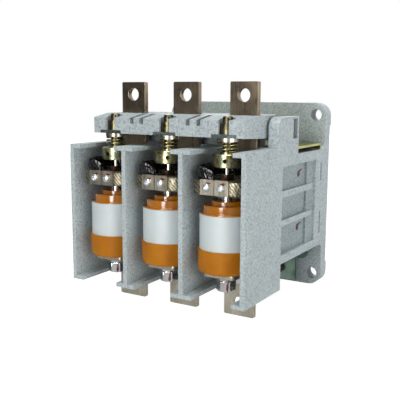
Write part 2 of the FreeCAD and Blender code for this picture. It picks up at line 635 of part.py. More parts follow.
def frame_windows(body):
    """Three recesses in each side, stepped at the rear, and two thin slots behind them."""
    windows = [("upper_bar_top", "window_top"), ("lower_bar_top", "upper_bar_bottom"),
               ("window_bottom", "lower_bar_bottom")]
    features = []
    sketch = sketch_on(body, "YZ_Plane", "half_width")
    rectangle(sketch, "wall_rear", "-window_rear", "lower_bar_bottom", "upper_bar_top")
    features.append(extrude(body, "Pocket", sketch, "bar_inset"))
    sketch = sketch_on(body, "YZ_Plane", "half_width")
    rectangle(sketch, "-bar_end", "-window_rear", "window_bottom", "window_top")
    features.append(extrude(body, "Pocket", sketch, "shallow_depth"))
    for rear, depth in (("-bar_end", "shallow_depth"),
                        ("-shallow_end", "half_width - window_floor")):
        sketch = sketch_on(body, "YZ_Plane", "half_width")
        for low, high in windows:
            rectangle(sketch, "wall_rear", rear, low, high)
        features.append(extrude(body, "Pocket", sketch, depth))
    sketch = sketch_on(body, "YZ_Plane", "half_width")
    slot_front = "-(bracket_back + sheet_thick + seating)"
    slot_rear = "-(bracket_back - seating)"
    rectangle(sketch, slot_front, slot_rear, "upper_bar_top", "window_top - side_wall")
    rectangle(sketch, slot_front, slot_rear, "window_bottom + side_wall", "lower_bar_bottom")
    features.append(extrude(body, "Pocket", sketch, "bay_wall"))
    sketch = sketch_on(body, "YZ_Plane", "half_width")
    rectangle(sketch, "front", "-tower_back", "ledge_height", "tower_top")
    features.append(extrude(body, "Pocket", sketch, "ledge_step"))
    sketch = sketch_on(body, "YZ_Plane", "half_width")
    rectangle(sketch, "-pocket_front", "-pocket_back", "pocket_bottom", "pocket_top")
    features.append(extrude(body, "Pocket", sketch, "pocket_depth"))
    sketch = sketch_on(body, "YZ_Plane", "bearing_inside")
    circle(sketch, "shaft_y", "shaft_height", "shaft_bore / 2 + shaft_play")
    features.append(extrude(body, "Pocket", sketch, "half_width - bearing_inside - bearing_skin",
                            back=True))
    mirror(body, features)


def frame_holes(body):
    """Bosses for the magnet bracket, mounting holes and the holes of all screws in the frame."""
    sketch = sketch_on(body, "XZ_Plane", "-plate_front")
    for side in (-1, 1):
        for height in ("foot_screw_height", "head_screw_height"):
            circle(sketch, f"{side} * foot_screw_x", height, "boss_radius")
    extrude(body, "Pad", sketch, "bracket_back - plate_front")
    sketch = sketch_on(body, "XZ_Plane")
    for across in (-1, 1):
        for up in (-1, 1):
            circle(sketch, f"{across} * mount_pitch / 2", f"{up} * mount_pitch / 2",
                   "mount_bore / 2")
    extrude(body, "Pocket", sketch, "plate_front", back=True)
    depth = "fixing_depth + seating"
    radius = "fixing_shank + thread_play"
    sketch = sketch_on(body, "XZ_Plane", "-bracket_back")
    for side in (-1, 1):
        for height in ("foot_screw_height", "head_screw_height"):
            circle(sketch, f"{side} * foot_screw_x", height, radius)
    extrude(body, "Pocket", sketch, depth)
    sketch = sketch_on(body, "XZ_Plane", "-back_wall_front")
    for name, step in POLES:
        for height in ("terminal_screw_height", "shunt_screw_height"):
            circle(sketch, pole_x(step), height, radius)
    extrude(body, "Pocket", sketch, depth)
    sketch = sketch_on(body, "XZ_Plane", "land_face")
    for name, step in POLES:
        circle(sketch, pole_x(step), "lower_screw_height", radius)
    extrude(body, "Pocket", sketch, depth)
    sketch = sketch_on(body, "XZ_Plane", "shaft_y")
    for side in (-1, 1):
        circle(sketch, f"{side} * cap_screw_x", "cap_screw_height", "cap_screw / 2 + thread_play")
    extrude(body, "Pocket", sketch, "shaft_back - pocket_front")
    features = []
    for radius, depth in (("side_screw_head + fixing_play", "side_screw_sink"),
                          ("side_screw / 2 + fixing_play", "bay_floor")):
        sketch = sketch_on(body, "YZ_Plane", "window_floor")
        for height in ("side_screw_high", "side_screw_low"):
            circle(sketch, "-side_screw_back", height, radius)
        features.append(extrude(body, "Pocket", sketch, depth))
    mirror(body, features)


def make_frame():
    body = new_body("frame")
    frame_plate(body)
    frame_walls(body)
    frame_bay(body)
    frame_windows(body)
    frame_holes(body)


def make_cap(name, side):
    """A bearing cap: the front half of one bearing, with a round on its top front edge."""
    body = new_body("bearing_cap_" + name)
    inner, outer = f"{side} * bearing_inside", f"{side} * (half_width - ledge_step)"
    sketch = sketch_on(body, "XY_Plane", "panel_top")
    rectangle(sketch, *sorted((inner, outer), key=size), "-tower_front", "shaft_y")
    extrude(body, "Pad", sketch, "tower_top - panel_top")
    soften(body, "Fillet", "tower_round", lambda edge: runs_along(edge, ALONG_X)
           and at(edge, y="-tower_front", z="tower_top"))
    sketch = sketch_on(body, "YZ_Plane", inner)
    circle(sketch, "shaft_y", "shaft_height", "shaft_bore / 2 + shaft_play")
    extrude(body, "Pocket", sketch, "half_width - bearing_inside - bearing_skin", back=side > 0)
    sketch = sketch_on(body, "XZ_Plane", "shaft_y")
    circle(sketch, f"{side} * cap_screw_x", "cap_screw_height", "cap_screw / 2 + thread_play")
    extrude(body, "Pocket", sketch, "cap_screw_grip + seating", back=True)


def make_upper_terminal(name, step):
    """A flat bar up the back wall, behind the beam, with a hole for the cable lug."""
    middle = pole_x(step)
    body = new_body("upper_terminal_" + name)
    sketch = sketch_on(body, "XZ_Plane", "-back_wall_front")
    rectangle(sketch, f"{middle} - terminal_width / 2", f"{middle} + terminal_width / 2",
              "terminal_low", "terminal_top")
    circle(sketch, middle, "terminal_top - terminal_edge", "terminal_bore / 2")
    for height in ("terminal_screw_height", "shunt_screw_height"):
        circle(sketch, middle, height, "fixing_shank + fixing_play")
    extrude(body, "Pad", sketch, "terminal_thick")
    soften(body, "Chamfer", "bar_edge", lambda edge: runs_along(edge, ALONG_Y))


def make_lower_terminal(name, step):
    """A bar bent forward into a shelf that carries the interrupter."""
    middle = pole_x(step)
    body = new_body("lower_terminal_" + name)
    sketch = sketch_on(body, "YZ_Plane", middle)
    polygon(sketch, [("lower_leg_front", "lower_end"), ("land_face", "lower_end"),
                     ("land_face", "cup_bottom"), ("-lower_front", "cup_bottom"),
                     ("-lower_front", "shelf_bottom"), ("lower_leg_front", "shelf_bottom")])
    extrude(body, "Pad", sketch, "lower_width", both=True)
    soften(body, "Fillet", "bend_inside + lower_thick", lambda edge: runs_along(edge, ALONG_X)
           and at(edge, y="land_face", z="cup_bottom"))
    soften(body, "Fillet", "bend_inside", lambda edge: runs_along(edge, ALONG_X)
           and at(edge, y="lower_leg_front", z="shelf_bottom"))
    soften(body, "Fillet", "shelf_corner", lambda edge: runs_along(edge, ALONG_Z)
           and at(edge, y="-lower_front"))
    soften(body, "Chamfer", "bar_edge", lambda edge: runs_along(edge, ALONG_Y)
           and at(edge, z="lower_end"))
    sketch = sketch_on(body, "XY_Plane", "cup_bottom")
    circle(sketch, middle, "pole_y", "stud_radius + fixing_play")
    extrude(body, "Pocket", sketch, "lower_thick")
    sketch = sketch_on(body, "XZ_Plane", "land_face")
    circle(sketch, middle, "lower_end + terminal_edge", "terminal_bore / 2")
    circle(sketch, middle, "lower_screw_height", "fixing_shank + fixing_play")
    extrude(body, "Pocket", sketch, "lower_thick", back=True)


def make_interrupter(name, step):
    """The sealed envelope of one vacuum interrupter: ceramic tube, top cap and bottom cup."""
    place = (pole_x(step), "pole_y")
    floor = "cup_bottom + cup_floor"
    turned("interrupter_ceramic_" + name,
           [("ceramic_radius - ceramic_wall", floor), ("ceramic_radius", floor),
            ("ceramic_radius", "ceramic_top - 0.6"), ("ceramic_radius - 0.6", "ceramic_top"),
            ("ceramic_radius - ceramic_wall", "ceramic_top")], *place)
    ceiling = "cap_shoulder_top - cap_wall"
    cap = turned("interrupter_top_cap_" + name,
                 [("cap_shoulder - cap_wall", "ceramic_top"), ("ceramic_radius", "ceramic_top"),
                  ("ceramic_radius", "cap_lip_top"), ("cap_shoulder", "cap_lip_top"),
                  ("cap_shoulder", "cap_shoulder_top"), ("cap_neck", "cap_shoulder_top"),
                  ("cap_neck", "cap_neck_top"), ("stem_radius + stem_play", "cap_neck_top"),
                  ("stem_radius + stem_play", ceiling), ("cap_shoulder - cap_wall", ceiling)],
                 *place)
    soften(cap, "Fillet", "cap_round", lambda edge: any(
        abs(edge.CenterOfMass.z - size(level)) < 0.05 and isinstance(edge.Curve, Part.Circle)
        and edge.Curve.Radius > size("cap_neck") - 0.1
        and abs(edge.Curve.Radius - size(radius)) < 0.05
        for level, radius in (("cap_lip_top", "ceramic_radius"),
                              ("cap_shoulder_top", "cap_shoulder"),
                              ("cap_neck_top", "cap_neck"))))
    cup = turned("interrupter_bottom_cup_" + name,
                 [("stud_radius + fixing_play", "cup_bottom"), ("cup_radius", "cup_bottom"),
                  ("cup_radius", "cup_top"), ("cup_inside", "cup_top"), ("cup_inside", floor),
                  ("stud_radius + fixing_play", floor)], *place)
    soften(cup, "Fillet", "cup_round", lambda edge: isinstance(edge.Curve, Part.Circle)
           and edge.Curve.Radius > size("cup_radius") - 0.1 and at(edge, z="cup_bottom"))


def loose(body):
    """Take a body off the list of sub-parts, because it goes into a group."""
    sub_parts.remove(body)
    return body


def make_inner_parts():
    """Fixed contacts, vapour shields and bellows inside the three interrupters."""
    fixed, shields, bellows = [], [], []
    floor = "cup_bottom + cup_floor"
    folds = 5
    for name, step in POLES:
        place = (pole_x(step), "pole_y")
        fixed.append(loose(turned("fixed_contact_" + name, [
            ("0", "stud_end"), ("stud_radius - 0.8", "stud_end"), ("stud_radius", "stud_end + 0.8"),
            ("stud_radius", floor), ("fixed_radius + 2", floor), ("fixed_radius + 2", floor + " + 3"),
            ("fixed_radius", floor + " + 3"), ("fixed_radius", "contact_low - contact_thick"),
            ("contact_radius", "contact_low - contact_thick"), ("contact_radius", "contact_low"),
            ("0", "contact_low")], *place)))
        inner = "shield_radius - shield_wall"
        shields.append(loose(turned("vapour_shield_" + name, [
            (inner, floor), ("shield_radius", floor), ("shield_radius", "shield_top - shield_wall"),
            (inner, "shield_top"), (inner + " - shield_wall", "shield_top"),
            (inner + " - shield_wall", "shield_top - shield_wall"),
            (inner, "shield_top - 2 * shield_wall")], *place)))
        rise = f"(cap_shoulder_top - cap_wall - bellows_low) / {2 * folds}"
        outside = [(f"bellows_radius - {'bellows_fold' if number % 2 == 0 else '0'}",
                    f"bellows_low + {number} * {rise}") for number in range(2 * folds + 1)]
        inside = [(f"{radius} - bellows_wall", height) for radius, height in reversed(outside)]
        bellows.append(loose(turned("bellows_" + name, outside + inside, *place)))
    group("fixed_contacts", fixed)
    group("vapour_shields", shields)
    group("bellows", bellows)


def screw(x, y, z, axis, head_radius, head_height, shank_radius, shank_length):
    """A screw whose head stands on x, y, z and points along one of the six directions."""
    start = [f"{place} - ({shank_length}) * {direction:.0f}"
             for place, direction in zip((x, y, z), axis)]
    shank = cylinder(shank_radius, shank_length, *start, axis)
    return join([shank, cylinder(head_radius, head_height, x, y, z, axis)])


def nut(flats, height, bore, x, y, z):
    return cut(hexagon(flats, height, x, y, z), cylinder(bore, height, x, y, z))


TO_FRONT = FreeCAD.Vector(0, -1, 0)
TO_BACK = FreeCAD.Vector(0, 1, 0)


def fixing(x, y, z, axis, grip):
    """An M5 screw of the kind that holds the terminals and the magnet."""
    return screw(x, y, z, axis, "fixing_head", "fixing_head_height", "fixing_shank", grip)


def make_fasteners():
    """Screws and nuts that stay with the frame."""
    terminals, nuts = [], []
    for name, step in POLES:
        middle = pole_x(step)
        grip = "terminal_thick + fixing_depth"
        terminals.append(fixing(middle, "terminal_front", "terminal_screw_height", TO_FRONT, grip))
        terminals.append(fixing(middle, "terminal_front - braid_thick", "shunt_screw_height",
                                TO_FRONT, "braid_thick + " + grip))
        terminals.append(fixing(middle, "lower_leg_front", "lower_screw_height", TO_FRONT,
                                "lower_thick + fixing_depth"))
        place = (middle, "pole_y")
        bore = "stud_radius + thread_play"
        nuts.append(ring("washer_radius", bore, "washer_thick", *place,
                         "shelf_bottom - washer_thick"))
        nuts.append(ring("spring_washer_radius", bore, "spring_washer_thick", *place,
                         "shelf_bottom - washer_thick - spring_washer_thick"))
        nuts.append(nut("nut_flats", "nut_height", bore, *place,
                        "shelf_bottom - washer_thick - spring_washer_thick - nut_height"))
    group("terminal_screws", terminals)
    group("interrupter_nuts", nuts)
    group("bearing_cap_screws", [
        screw(f"{side} * cap_screw_x", "-pocket_front", "cap_screw_height", TO_BACK,
              "cap_screw_head", "cap_screw_head_height", "cap_screw / 2",
              "shaft_back - pocket_front + cap_screw_grip") for name, side in SIDES])


def pole_face(height):
    """Y of the tilted pole faces at a height: parallel to the closed armature, a hair behind it."""
    arm = "(armature_rear - shaft_y + pole_air)"
    return (f"(shaft_y + ({arm} + (shaft_height - ({height})) * sin(closing_angle))"
            " / cos(closing_angle))")


def make_core(name, side):
    """A round core with a pole shoe whose face is cut to meet the tilted armature flat."""
    body = loose(new_body("magnet_core_" + name))
    middle = f"{side} * coil_offset"
    low, high = "magnet_height - pole_shoe", "magnet_height + pole_shoe"
    rear = f"{pole_face(low)} + pole_shoe_thick"
    sketch = sketch_on(body, "XZ_Plane", "yoke_front")
    circle(sketch, middle, "magnet_height", "core_radius")
    extrude(body, "Pad", sketch, f"yoke_front - {rear}")
    sketch = sketch_on(body, "XZ_Plane", rear)
    circle(sketch, middle, "magnet_height", "pole_shoe")
    extrude(body, "Pad", sketch, "2 * pole_shoe_thick")
    sketch = sketch_on(body, "YZ_Plane", middle)
    below, above = low + " - 1", high + " + 1"
    polygon(sketch, [(pole_face(below), below), (pole_face(above), above),
                     ("armature_front", above), ("armature_front", below)])
    extrude(body, "Pocket", sketch, "2 * pole_shoe + 2", both=True)
    return body


def make_bobbin(name, side):
    """A coil bobbin: tube with two rounded end flanges, between yoke and pole shoe."""
    body = loose(new_body("coil_bobbin_" + name))
    rear = f"{pole_face('magnet_height - pole_shoe')} + pole_shoe_thick + seating"
    middle = f"{side} * coil_offset"
    for place in ("yoke_front", rear + " + bobbin_flange"):
        sketch = sketch_on(body, "XZ_Plane", place)
        rectangle(sketch, f"{middle} - bobbin_half", f"{middle} + bobbin_half",
                  "magnet_height - bobbin_reach", "magnet_height + bobbin_reach")
        extrude(body, "Pad", sketch, "bobbin_flange")
        if place == "yoke_front":
            sketch = sketch_on(body, "XZ_Plane", place)
            circle(sketch, middle, "magnet_height", "core_radius + seating + bobbin_wall")
            extrude(body, "Pad", sketch, f"yoke_front - ({rear})")
    soften(body, "Fillet", "bobbin_corner", lambda edge: runs_along(edge, ALONG_Y))
    sketch = sketch_on(body, "XZ_Plane", "yoke_front")
    circle(sketch, middle, "magnet_height", "core_radius + seating")
    extrude(body, "Pocket", sketch, f"yoke_front - ({rear})", back=True)
    return body


def make_magnet():
    """Yoke, cores, coils, guide pin and return spring of the electromagnet."""
    rear = f"({pole_face('magnet_height - pole_shoe')} + pole_shoe_thick + seating)"
    yoke = new_body("magnet_yoke")
    sketch = sketch_on(yoke, "XZ_Plane", "yoke_rear")
    rectangle(sketch, "-yoke_half", "yoke_half",
              "magnet_height - yoke_reach", "magnet_height + yoke_reach")
    extrude(yoke, "Pad", sketch, "yoke_thick")
    soften(yoke, "Chamfer", "yoke_edge", lambda edge: runs_along(edge, ALONG_Y))
    pin = cylinder("guide_radius", "guide_length", "0", "yoke_front", "magnet_height", TO_FRONT)
    group("magnet_cores", [make_core(name, side) for name, side in SIDES] + [pin])
    group("coil_bobbins", [make_bobbin(name, side) for name, side in SIDES])
    windings = []
    for name, side in SIDES:
        windings.append(ring("coil_radius", "core_radius + seating + bobbin_wall + thread_play",
                             f"yoke_front - {rear} - 2 * bobbin_flange", f"{side} * coil_offset",
                             "yoke_front - bobbin_flange", "magnet_height", TO_FRONT))
    group("coil_windings", windings)
    length = size("yoke_front - armature_rear + spring_recess - 2 * spring_air")
    spring = coil_of_wire(size("return_radius"), size("return_wire"), size("return_turns"), length)
    shaped("return_spring", spring, "0", "yoke_front - spring_air", "magnet_height", TO_FRONT)


def make_bracket():
    """The sheet bracket of the magnet: back with feet, folded sides and a shelf over the rails."""
    body = new_body("magnet_bracket")
    side = "(bay_inside - fold_play)"
    wide = "(half_width - ledge_step - shelf_inset)"
    over = "(ledge_height + seating)"
    half = [("foot_inner", "bracket_bottom"), ("foot_inner", "foot_bottom"),
            ("foot_outer", "foot_bottom"), ("foot_outer", "bracket_bottom"),
            (side, "bracket_bottom"), (side, over), (wide, over), (wide, "bracket_top")]
    other = [(f"-({across})", up) for across, up in reversed(half)]
    sketch = sketch_on(body, "XZ_Plane", "-bracket_back")
    polygon(sketch, half + other)
    extrude(body, "Pad", sketch, "sheet_thick")
    sketch = sketch_on(body, "XY_Plane", "bracket_low")
    for sign in (-1, 1):
        edges = sorted((f"{sign} * {side}", f"{sign} * ({side} - sheet_thick)"), key=size)
        rectangle(sketch, edges[0], edges[1], "-bracket_front", "yoke_rear")
    extrude(body, "Pad", sketch, "bracket_side_top - bracket_low")
    sketch = sketch_on(body, "XY_Plane", "bracket_top - sheet_thick")
    rectangle(sketch, f"-{wide}", wide, "-shelf_front", "yoke_rear")
    extrude(body, "Pad", sketch, "sheet_thick")
    soften(body, "Fillet", "bracket_corner", lambda edge: runs_along(edge, ALONG_Y)
           and at(edge, z="bracket_bottom") and abs(edge.CenterOfMass.x) > size("foot_outer") + 1)
    sketch = sketch_on(body, "YZ_Plane")
    rectangle(sketch, "-bracket_cut_front", "-bracket_cut_rear",
              "bracket_cut_bottom", "bracket_cut_top")
    for height in ("side_screw_high", "side_screw_low"):
        circle(sketch, "-side_screw_back", height, "side_screw / 2 + fixing_play")
    extrude(body, "Pocket", sketch, "2 * half_width", both=True)
    sketch = sketch_on(body, "XZ_Plane", "-bracket_back")
    for sign in (-1, 1):
        for height in ("foot_screw_height", "head_screw_height"):
            circle(sketch, f"{sign} * foot_screw_x", height, "fixing_shank + fixing_play")
    extrude(body, "Pocket", sketch, "sheet_thick", back=True)
    sketch = sketch_on(body, "XZ_Plane", "-bracket_back")
    for sign in (-1, 1):
        for low, high in (("upper_bar_top + side_wall / 2", "window_top - 1.5 * side_wall"),
                          ("window_bottom + 1.5 * side_wall", "lower_bar_bottom - side_wall / 2")):
            edges = sorted((f"{sign} * ({side} - 1)", f"{sign} * ({side} + tab_reach)"), key=size)
            rectangle(sketch, edges[0], edges[1], low, high)
    extrude(body, "Pad", sketch, "sheet_thick")
    sketch = sketch_on(body, "XY_Plane", "bracket_top")
    for sign in (-1, 1):
        circle(sketch, f"{sign} * coil_screw_x", "-coil_screw_back", "coil_screw / 2 + fixing_play")
    extrude(body, "Pocket", sketch, "sheet_thick")
    screws = []
    for name, sign in SIDES:
        for height in ("foot_screw_height", "head_screw_height"):
            screws.append(fixing(f"{sign} * foot_screw_x", "yoke_rear", height, TO_FRONT,
                                 "sheet_thick + fixing_depth"))
        for height in ("side_screw_high", "side_screw_low"):
            seat = f"{sign} * (window_floor - side_screw_sink)"
            screws.append(screw(seat, "-side_screw_back", height, FreeCAD.Vector(sign, 0, 0),
                                "side_screw_head", "side_screw_sink - fixing_play", "side_screw / 2",
                                "bay_floor - side_screw_sink + sheet_thick + side_screw_end"))
    group("magnet_screws", screws)
    terminals = []
    for name, sign in SIDES:
        place = (f"{sign} * coil_screw_x", "-coil_screw_back")
        clear = "coil_screw / 2 + thread_play"
        terminals.append(ring("coil_washer", clear, "1", *place, "bracket_top"))
        terminals.append(screw(*place, "bracket_top + 1", ALONG_Z, "coil_washer - 1.1", "2.2",
                               "coil_screw / 2", "sheet_thick + 4"))
    group("coil_terminals", terminals)


def make_pads():
    """Rubber stops on the rear of the back wall that hold the lever when the magnet is off."""
    group("stop_pads", [cylinder("pad_radius", "back_wall_front - back_wall - lever_front - pad_air",
                                 f"{side} * pad_offset", "wall_rear", "pad_level", TO_BACK)
                        for name, side in SIDES])


def rounded_block(name, left, right, front, rear, low, high, corner):
    """A block with its upright edges rounded."""
    body = loose(new_body(name))
    sketch = sketch_on(body, "XY_Plane", low)
    rectangle(sketch, left, right, front, rear)
    extrude(body, "Pad", sketch, f"({high}) - ({low})")
    soften(body, "Fillet", corner, lambda edge: runs_along(edge, ALONG_Z))
    return body


def make_shunt(name, step):
    """The flexible shunt: a closed band from the terminal round to the clamp block."""
    middle = pole_x(step)
    front, rear = "(-(block_front + braid_thick))", "terminal_front"
    inner = "(braid_reach - braid_thick)"
    height = ("braid_bottom", "braid_top")
    outside = rounded_block("shunt_outside_" + name, f"{middle} - braid_reach",
                            f"{middle} + braid_reach", front, rear, *height, "braid_corner")
    inside = rounded_block("shunt_inside_" + name, f"{middle} - {inner}", f"{middle} + {inner}",
                           front + " + braid_thick", rear + " - braid_thick", *height,
                           "braid_corner - braid_thick")
    holes = [cylinder("clamp_screw / 2 + seating", "braid_thick + 1",
                      f"{middle} + {side} * clamp_pitch / 2", front + " - 0.5", "clamp_level",
                      TO_BACK) for side in (-1, 1)]
    holes.append(cylinder("fixing_shank + fixing_play", "braid_thick + 1", middle,
                          rear + " + 0.5", "shunt_screw_height", TO_FRONT))
    group("flexible_shunt_" + name, [cut(cut(outside, inside), join(holes))])


def make_sleeves():
    """Insulating sleeves: oval section, bent round the back of each shunt on top of its band."""
    sleeves = []
    wide, deep = size("braid_reach - sleeve_thick / 2"), size("loop_depth - sleeve_thick / 2 - 0.5")
    half, level = size("sleeve_tall / 2"), size("braid_top + seating + sleeve_tall / 2")
    for name, step in POLES:
        middle = FreeCAD.Vector(size(pole_x(step)), size("loop_centre"), level)
        loop = Part.Ellipse(middle, wide, deep)
        first, last = math.radians(size("sleeve_start")), math.radians(size("sleeve_end"))
        path = Part.Arc(loop, first, last).toShape()
        spot = path.valueAt(path.FirstParameter)
        ahead = path.tangentAt(path.FirstParameter)
        turn = FreeCAD.Rotation(ALONG_Z, ahead.cross(ALONG_Z), ahead, "ZXY")
        section = Part.Ellipse(FreeCAD.Vector(), half, size("sleeve_thick / 2")).toShape()
        section.Placement = FreeCAD.Placement(spot, turn)
        pipe = Part.Wire([path]).makePipeShell([Part.Wire([section])], True, False)
        feature = document.addObject("Part::Feature", "sleeve_" + name)
        feature.Shape = pipe
        sleeves.append(feature)
    group("shunt_sleeves", sleeves)


# The rocker with its beam, hub and lever, and what turns with it.
def make_rocker():
    body = new_body("rocker")
    under = "beam_bottom - beam_drop"
    sketch = sketch_on(body, "YZ_Plane")
    polygon(sketch, [("-beam_front", "beam_bottom"), ("-beam_rear", under), ("shaft_y", under),
                     ("shaft_y", "beam_top"), ("-beam_rise_end", "beam_top"),
                     ("-beam_front", "beam_lip")])
    extrude(body, "Pad", sketch, "2 * beam_half", both=True)
    sketch = sketch_on(body, "YZ_Plane")
    circle(sketch, "shaft_y", "shaft_height", "hub_radius")
    extrude(body, "Pad", sketch, "2 * beam_half", both=True)
    sketch = sketch_on(body, "XZ_Plane", "armature_front")
    rectangle(sketch, "-lever_half", "lever_half", "lever_bottom", "shaft_height - hub_radius / 2")
    extrude(body, "Pad", sketch, "lever_thick")
    sketch = sketch_on(body, "XZ_Plane", "armature_front + lever_rib_depth")
    for side in (-1, 1):
        edges = sorted((f"{side} * lever_half", f"{side} * (lever_half - lever_rib)"), key=size)
        rectangle(sketch, edges[0], edges[1], "lever_bottom", "shaft_height - hub_radius / 2")
    extrude(body, "Pad", sketch, "lever_rib_depth")
    soften(body, "Fillet", "lever_corner", lambda edge: runs_along(edge, ALONG_Y)
           and at(edge, z="lever_bottom") and abs(edge.CenterOfMass.x) > size("lever_half") - 1)
    rocker_openings(body)


def rocker_openings(body):
    """Windows round the terminals, rod slots and bores, seats, grooves and the shaft bore."""
    window_rear = "(shaft_y - hub_radius - window_play)"
    sketch = sketch_on(body, "XY_Plane", "beam_top + 1")
    for name, step in POLES:
        middle = pole_x(step)
        reach = "(terminal_width / 2 + terminal_play)"
        rectangle(sketch, f"{middle} - {reach}", f"{middle} + {reach}", "-beam_rear", window_rear)
    extrude(body, "Pocket", sketch, "beam_top - beam_bottom + 4")
    soften(body, "Fillet", "window_corner", lambda edge: runs_along(edge, ALONG_Z)
           and size("-beam_rear") - 0.1 < edge.CenterOfMass.y < size(window_rear) + 0.1)
    sketch = sketch_on(body, "XY_Plane", "beam_top + 1")
    for name, step in POLES:
        middle = pole_x(step)
        rectangle(sketch, f"{middle} - rod_slot / 2", f"{middle} + rod_slot / 2",
                  "-beam_front - 1", "pole_y")
    extrude(body, "Pocket", sketch, "beam_top - beam_bottom + 4")
    sketch = sketch_on(body, "XY_Plane", "beam_top + 1")
    for name, step in POLES:
        circle(sketch, pole_x(step), "pole_y", "round_nut + rod_bore_play")
    extrude(body, "Pocket", sketch, "beam_top - beam_bottom + 4")
    sketch = sketch_on(body, "XY_Plane", "seat_top")
    for name, step in POLES:
        middle = pole_x(step)
        rectangle(sketch, f"{middle} - seat_width / 2", f"{middle} + seat_width / 2",
                  "-beam_front - 1", "-seat_rear")
    extrude(body, "Pocket", sketch, "seat_thick + 2")
    sketch = sketch_on(body, "XY_Plane", "beam_top + 1")
    for side in (-1, 1):
        for number in (-1, 1):
            middle = f"({side} * pole_pitch / 2 + {number} * groove_pitch / 2)"
            rectangle(sketch, f"{middle} - groove_width / 2", f"{middle} + groove_width / 2",
                      "-beam_front - 1", "-groove_rear")
    extrude(body, "Pocket", sketch, "beam_top + 1 - groove_floor")
    sketch = sketch_on(body, "YZ_Plane")
    circle(sketch, "shaft_y", "shaft_height", "shaft_bore / 2 + hub_play")
    extrude(body, "Pocket", sketch, "2 * beam_half + 2", both=True)
    for radius, depth in (("fixing_head + seating", "lever_sink"),
                          ("fixing_shank + fixing_play", "lever_thick")):
        sketch = sketch_on(body, "XZ_Plane", "-lever_front")
        for side in (-1, 1):
            for number in (-1, 1):
                circle(sketch, f"{side} * armature_screw_x",
                       f"magnet_height + {number} * armature_screw_z", radius)
        extrude(body, "Pocket", sketch, depth)


def make_rocker_fittings():
    """Shaft, armature with its screws, and the spring seats under the beam."""
    group("pivot_shaft", [cylinder("shaft_bore / 2", "2 * shaft_half",
                                   "-shaft_half", "shaft_y",
                                   "shaft_height", ALONG_X)])
    body = new_body("armature")
    sketch = sketch_on(body, "XZ_Plane", "armature_rear")
    rectangle(sketch, "-armature_half", "armature_half",
              "magnet_height - armature_reach", "magnet_height + armature_reach")
    extrude(body, "Pad", sketch, "armature_thick")
    soften(body, "Chamfer", "yoke_edge", lambda edge: runs_along(edge, ALONG_Y))
    sketch = sketch_on(body, "XZ_Plane", "armature_rear")
    circle(sketch, "0", "magnet_height", "return_radius + return_wire / 2 + seating")
    extrude(body, "Pocket", sketch, "spring_recess", back=True)
    sketch = sketch_on(body, "XZ_Plane", "armature_front")
    spots = [(f"{side} * armature_screw_x", f"magnet_height + {number} * armature_screw_z")
             for side in (-1, 1) for number in (-1, 1)]
    for across, up in spots:
        circle(sketch, across, up, "fixing_shank + fixing_play")
    extrude(body, "Pocket", sketch, "fixing_depth + seating")
    group("armature_screws", [fixing(across, "-lever_front + lever_sink", up, TO_FRONT,
                                     "lever_thick - lever_sink + fixing_depth")
                              for across, up in spots])
    seats = []
    for name, step in POLES:
        middle = pole_x(step)
        plate = document.addObject("Part::Box", "seat_plate")
        bind(plate, "Length", "seat_width - 2 * fold_play")
        bind(plate, "Width", "beam_front - seat_rear - fold_play")
        bind(plate, "Height", "seat_thick")
        bind(plate, "Placement.Base.x", f"{middle} - seat_width / 2 + fold_play")
        bind(plate, "Placement.Base.y", "-beam_front")
        bind(plate, "Placement.Base.z", "seat_bottom")
        hole = cylinder("seat_hole", "seat_thick", middle, "pole_y", "seat_bottom")
        seats.append(cut(plate, hole))
        seats.append(ring("spring_radius + spring_wire / 2 + spring_cup_rim", "spring_cup_bore",
                          "spring_cup_thick", middle, "pole_y", "spring_top"))
    group("spring_seats", seats)


# What moves straight up and down with each moving contact.
def make_stem(name, step):
    """Pull rod, collar, clamp block with its plates, moving contact, fasteners and spring."""
    middle = pole_x(step)
    place = (middle, "pole_y")
    turned("pull_rod_" + name,
           [("0", "block_top"), ("rod_neck", "block_top"), ("rod_neck", "collar_bottom"),
            ("rod_radius", "collar_bottom"), ("rod_radius", "rod_top - 0.8"),
            ("rod_radius - 0.8", "rod_top"), ("0", "rod_top")], *place)
    bore = "rod_radius + thread_play"
    collar = turned("collar_" + name,
                    [(bore, "collar_bottom"), ("collar_radius - 0.6", "collar_bottom"),
                     ("collar_radius", "collar_bottom + 0.6"), ("collar_radius", "collar_top - 0.6"),
                     ("collar_radius - 0.6", "collar_top"), ("collar_step_radius", "collar_top"),
                     ("collar_step_radius", "collar_top + collar_step"),
                     (bore, "collar_top + collar_step")], *place)
    for plane in ("XZ_Plane", "YZ_Plane"):
        sketch = sketch_on(collar, plane)
        circle(sketch, "0", "(collar_top + collar_bottom) / 2", "collar_hole")
        extrude(collar, "Pocket", sketch, "2 * collar_radius + 2", both=True)
    bind(collar, "Placement.Rotation.Angle", f"collar_turn_{name}")
    turned("moving_contact_" + name,
           [("0", "contact_high"), ("contact_radius", "contact_high"),
            ("contact_radius", "contact_high + contact_thick"),
            ("stem_radius", "contact_high + contact_thick"), ("stem_radius", "block_top"),
            ("0", "block_top")], *place)
    clamp = make_clamp(name, middle)
    screws = [screw(f"{middle} + {side} * clamp_pitch / 2", "clamp_front", "clamp_level", TO_FRONT,
                    "clamp_screw_head", "clamp_screw_height", "clamp_screw / 2",
                    "clamp_thick + braid_thick + clamp_screw_grip") for side in (-1, 1)]
    group("shunt_clamp_" + name, clamp)
    group("stem_fasteners_" + name, screws + [
        ring("round_nut", bore, "round_nut_height", *place, "seat_top"),
        nut("lock_flats", "lock_height", "rod_neck + thread_play", *place, "block_top")])
    length = size("spring_top - collar_top - 2 * spring_air")
    spring = coil_of_wire(size("spring_radius"), size("spring_wire"), size("spring_turns"), length)
    shaped("contact_spring_" + name, spring, middle, "pole_y", "collar_top + spring_air")


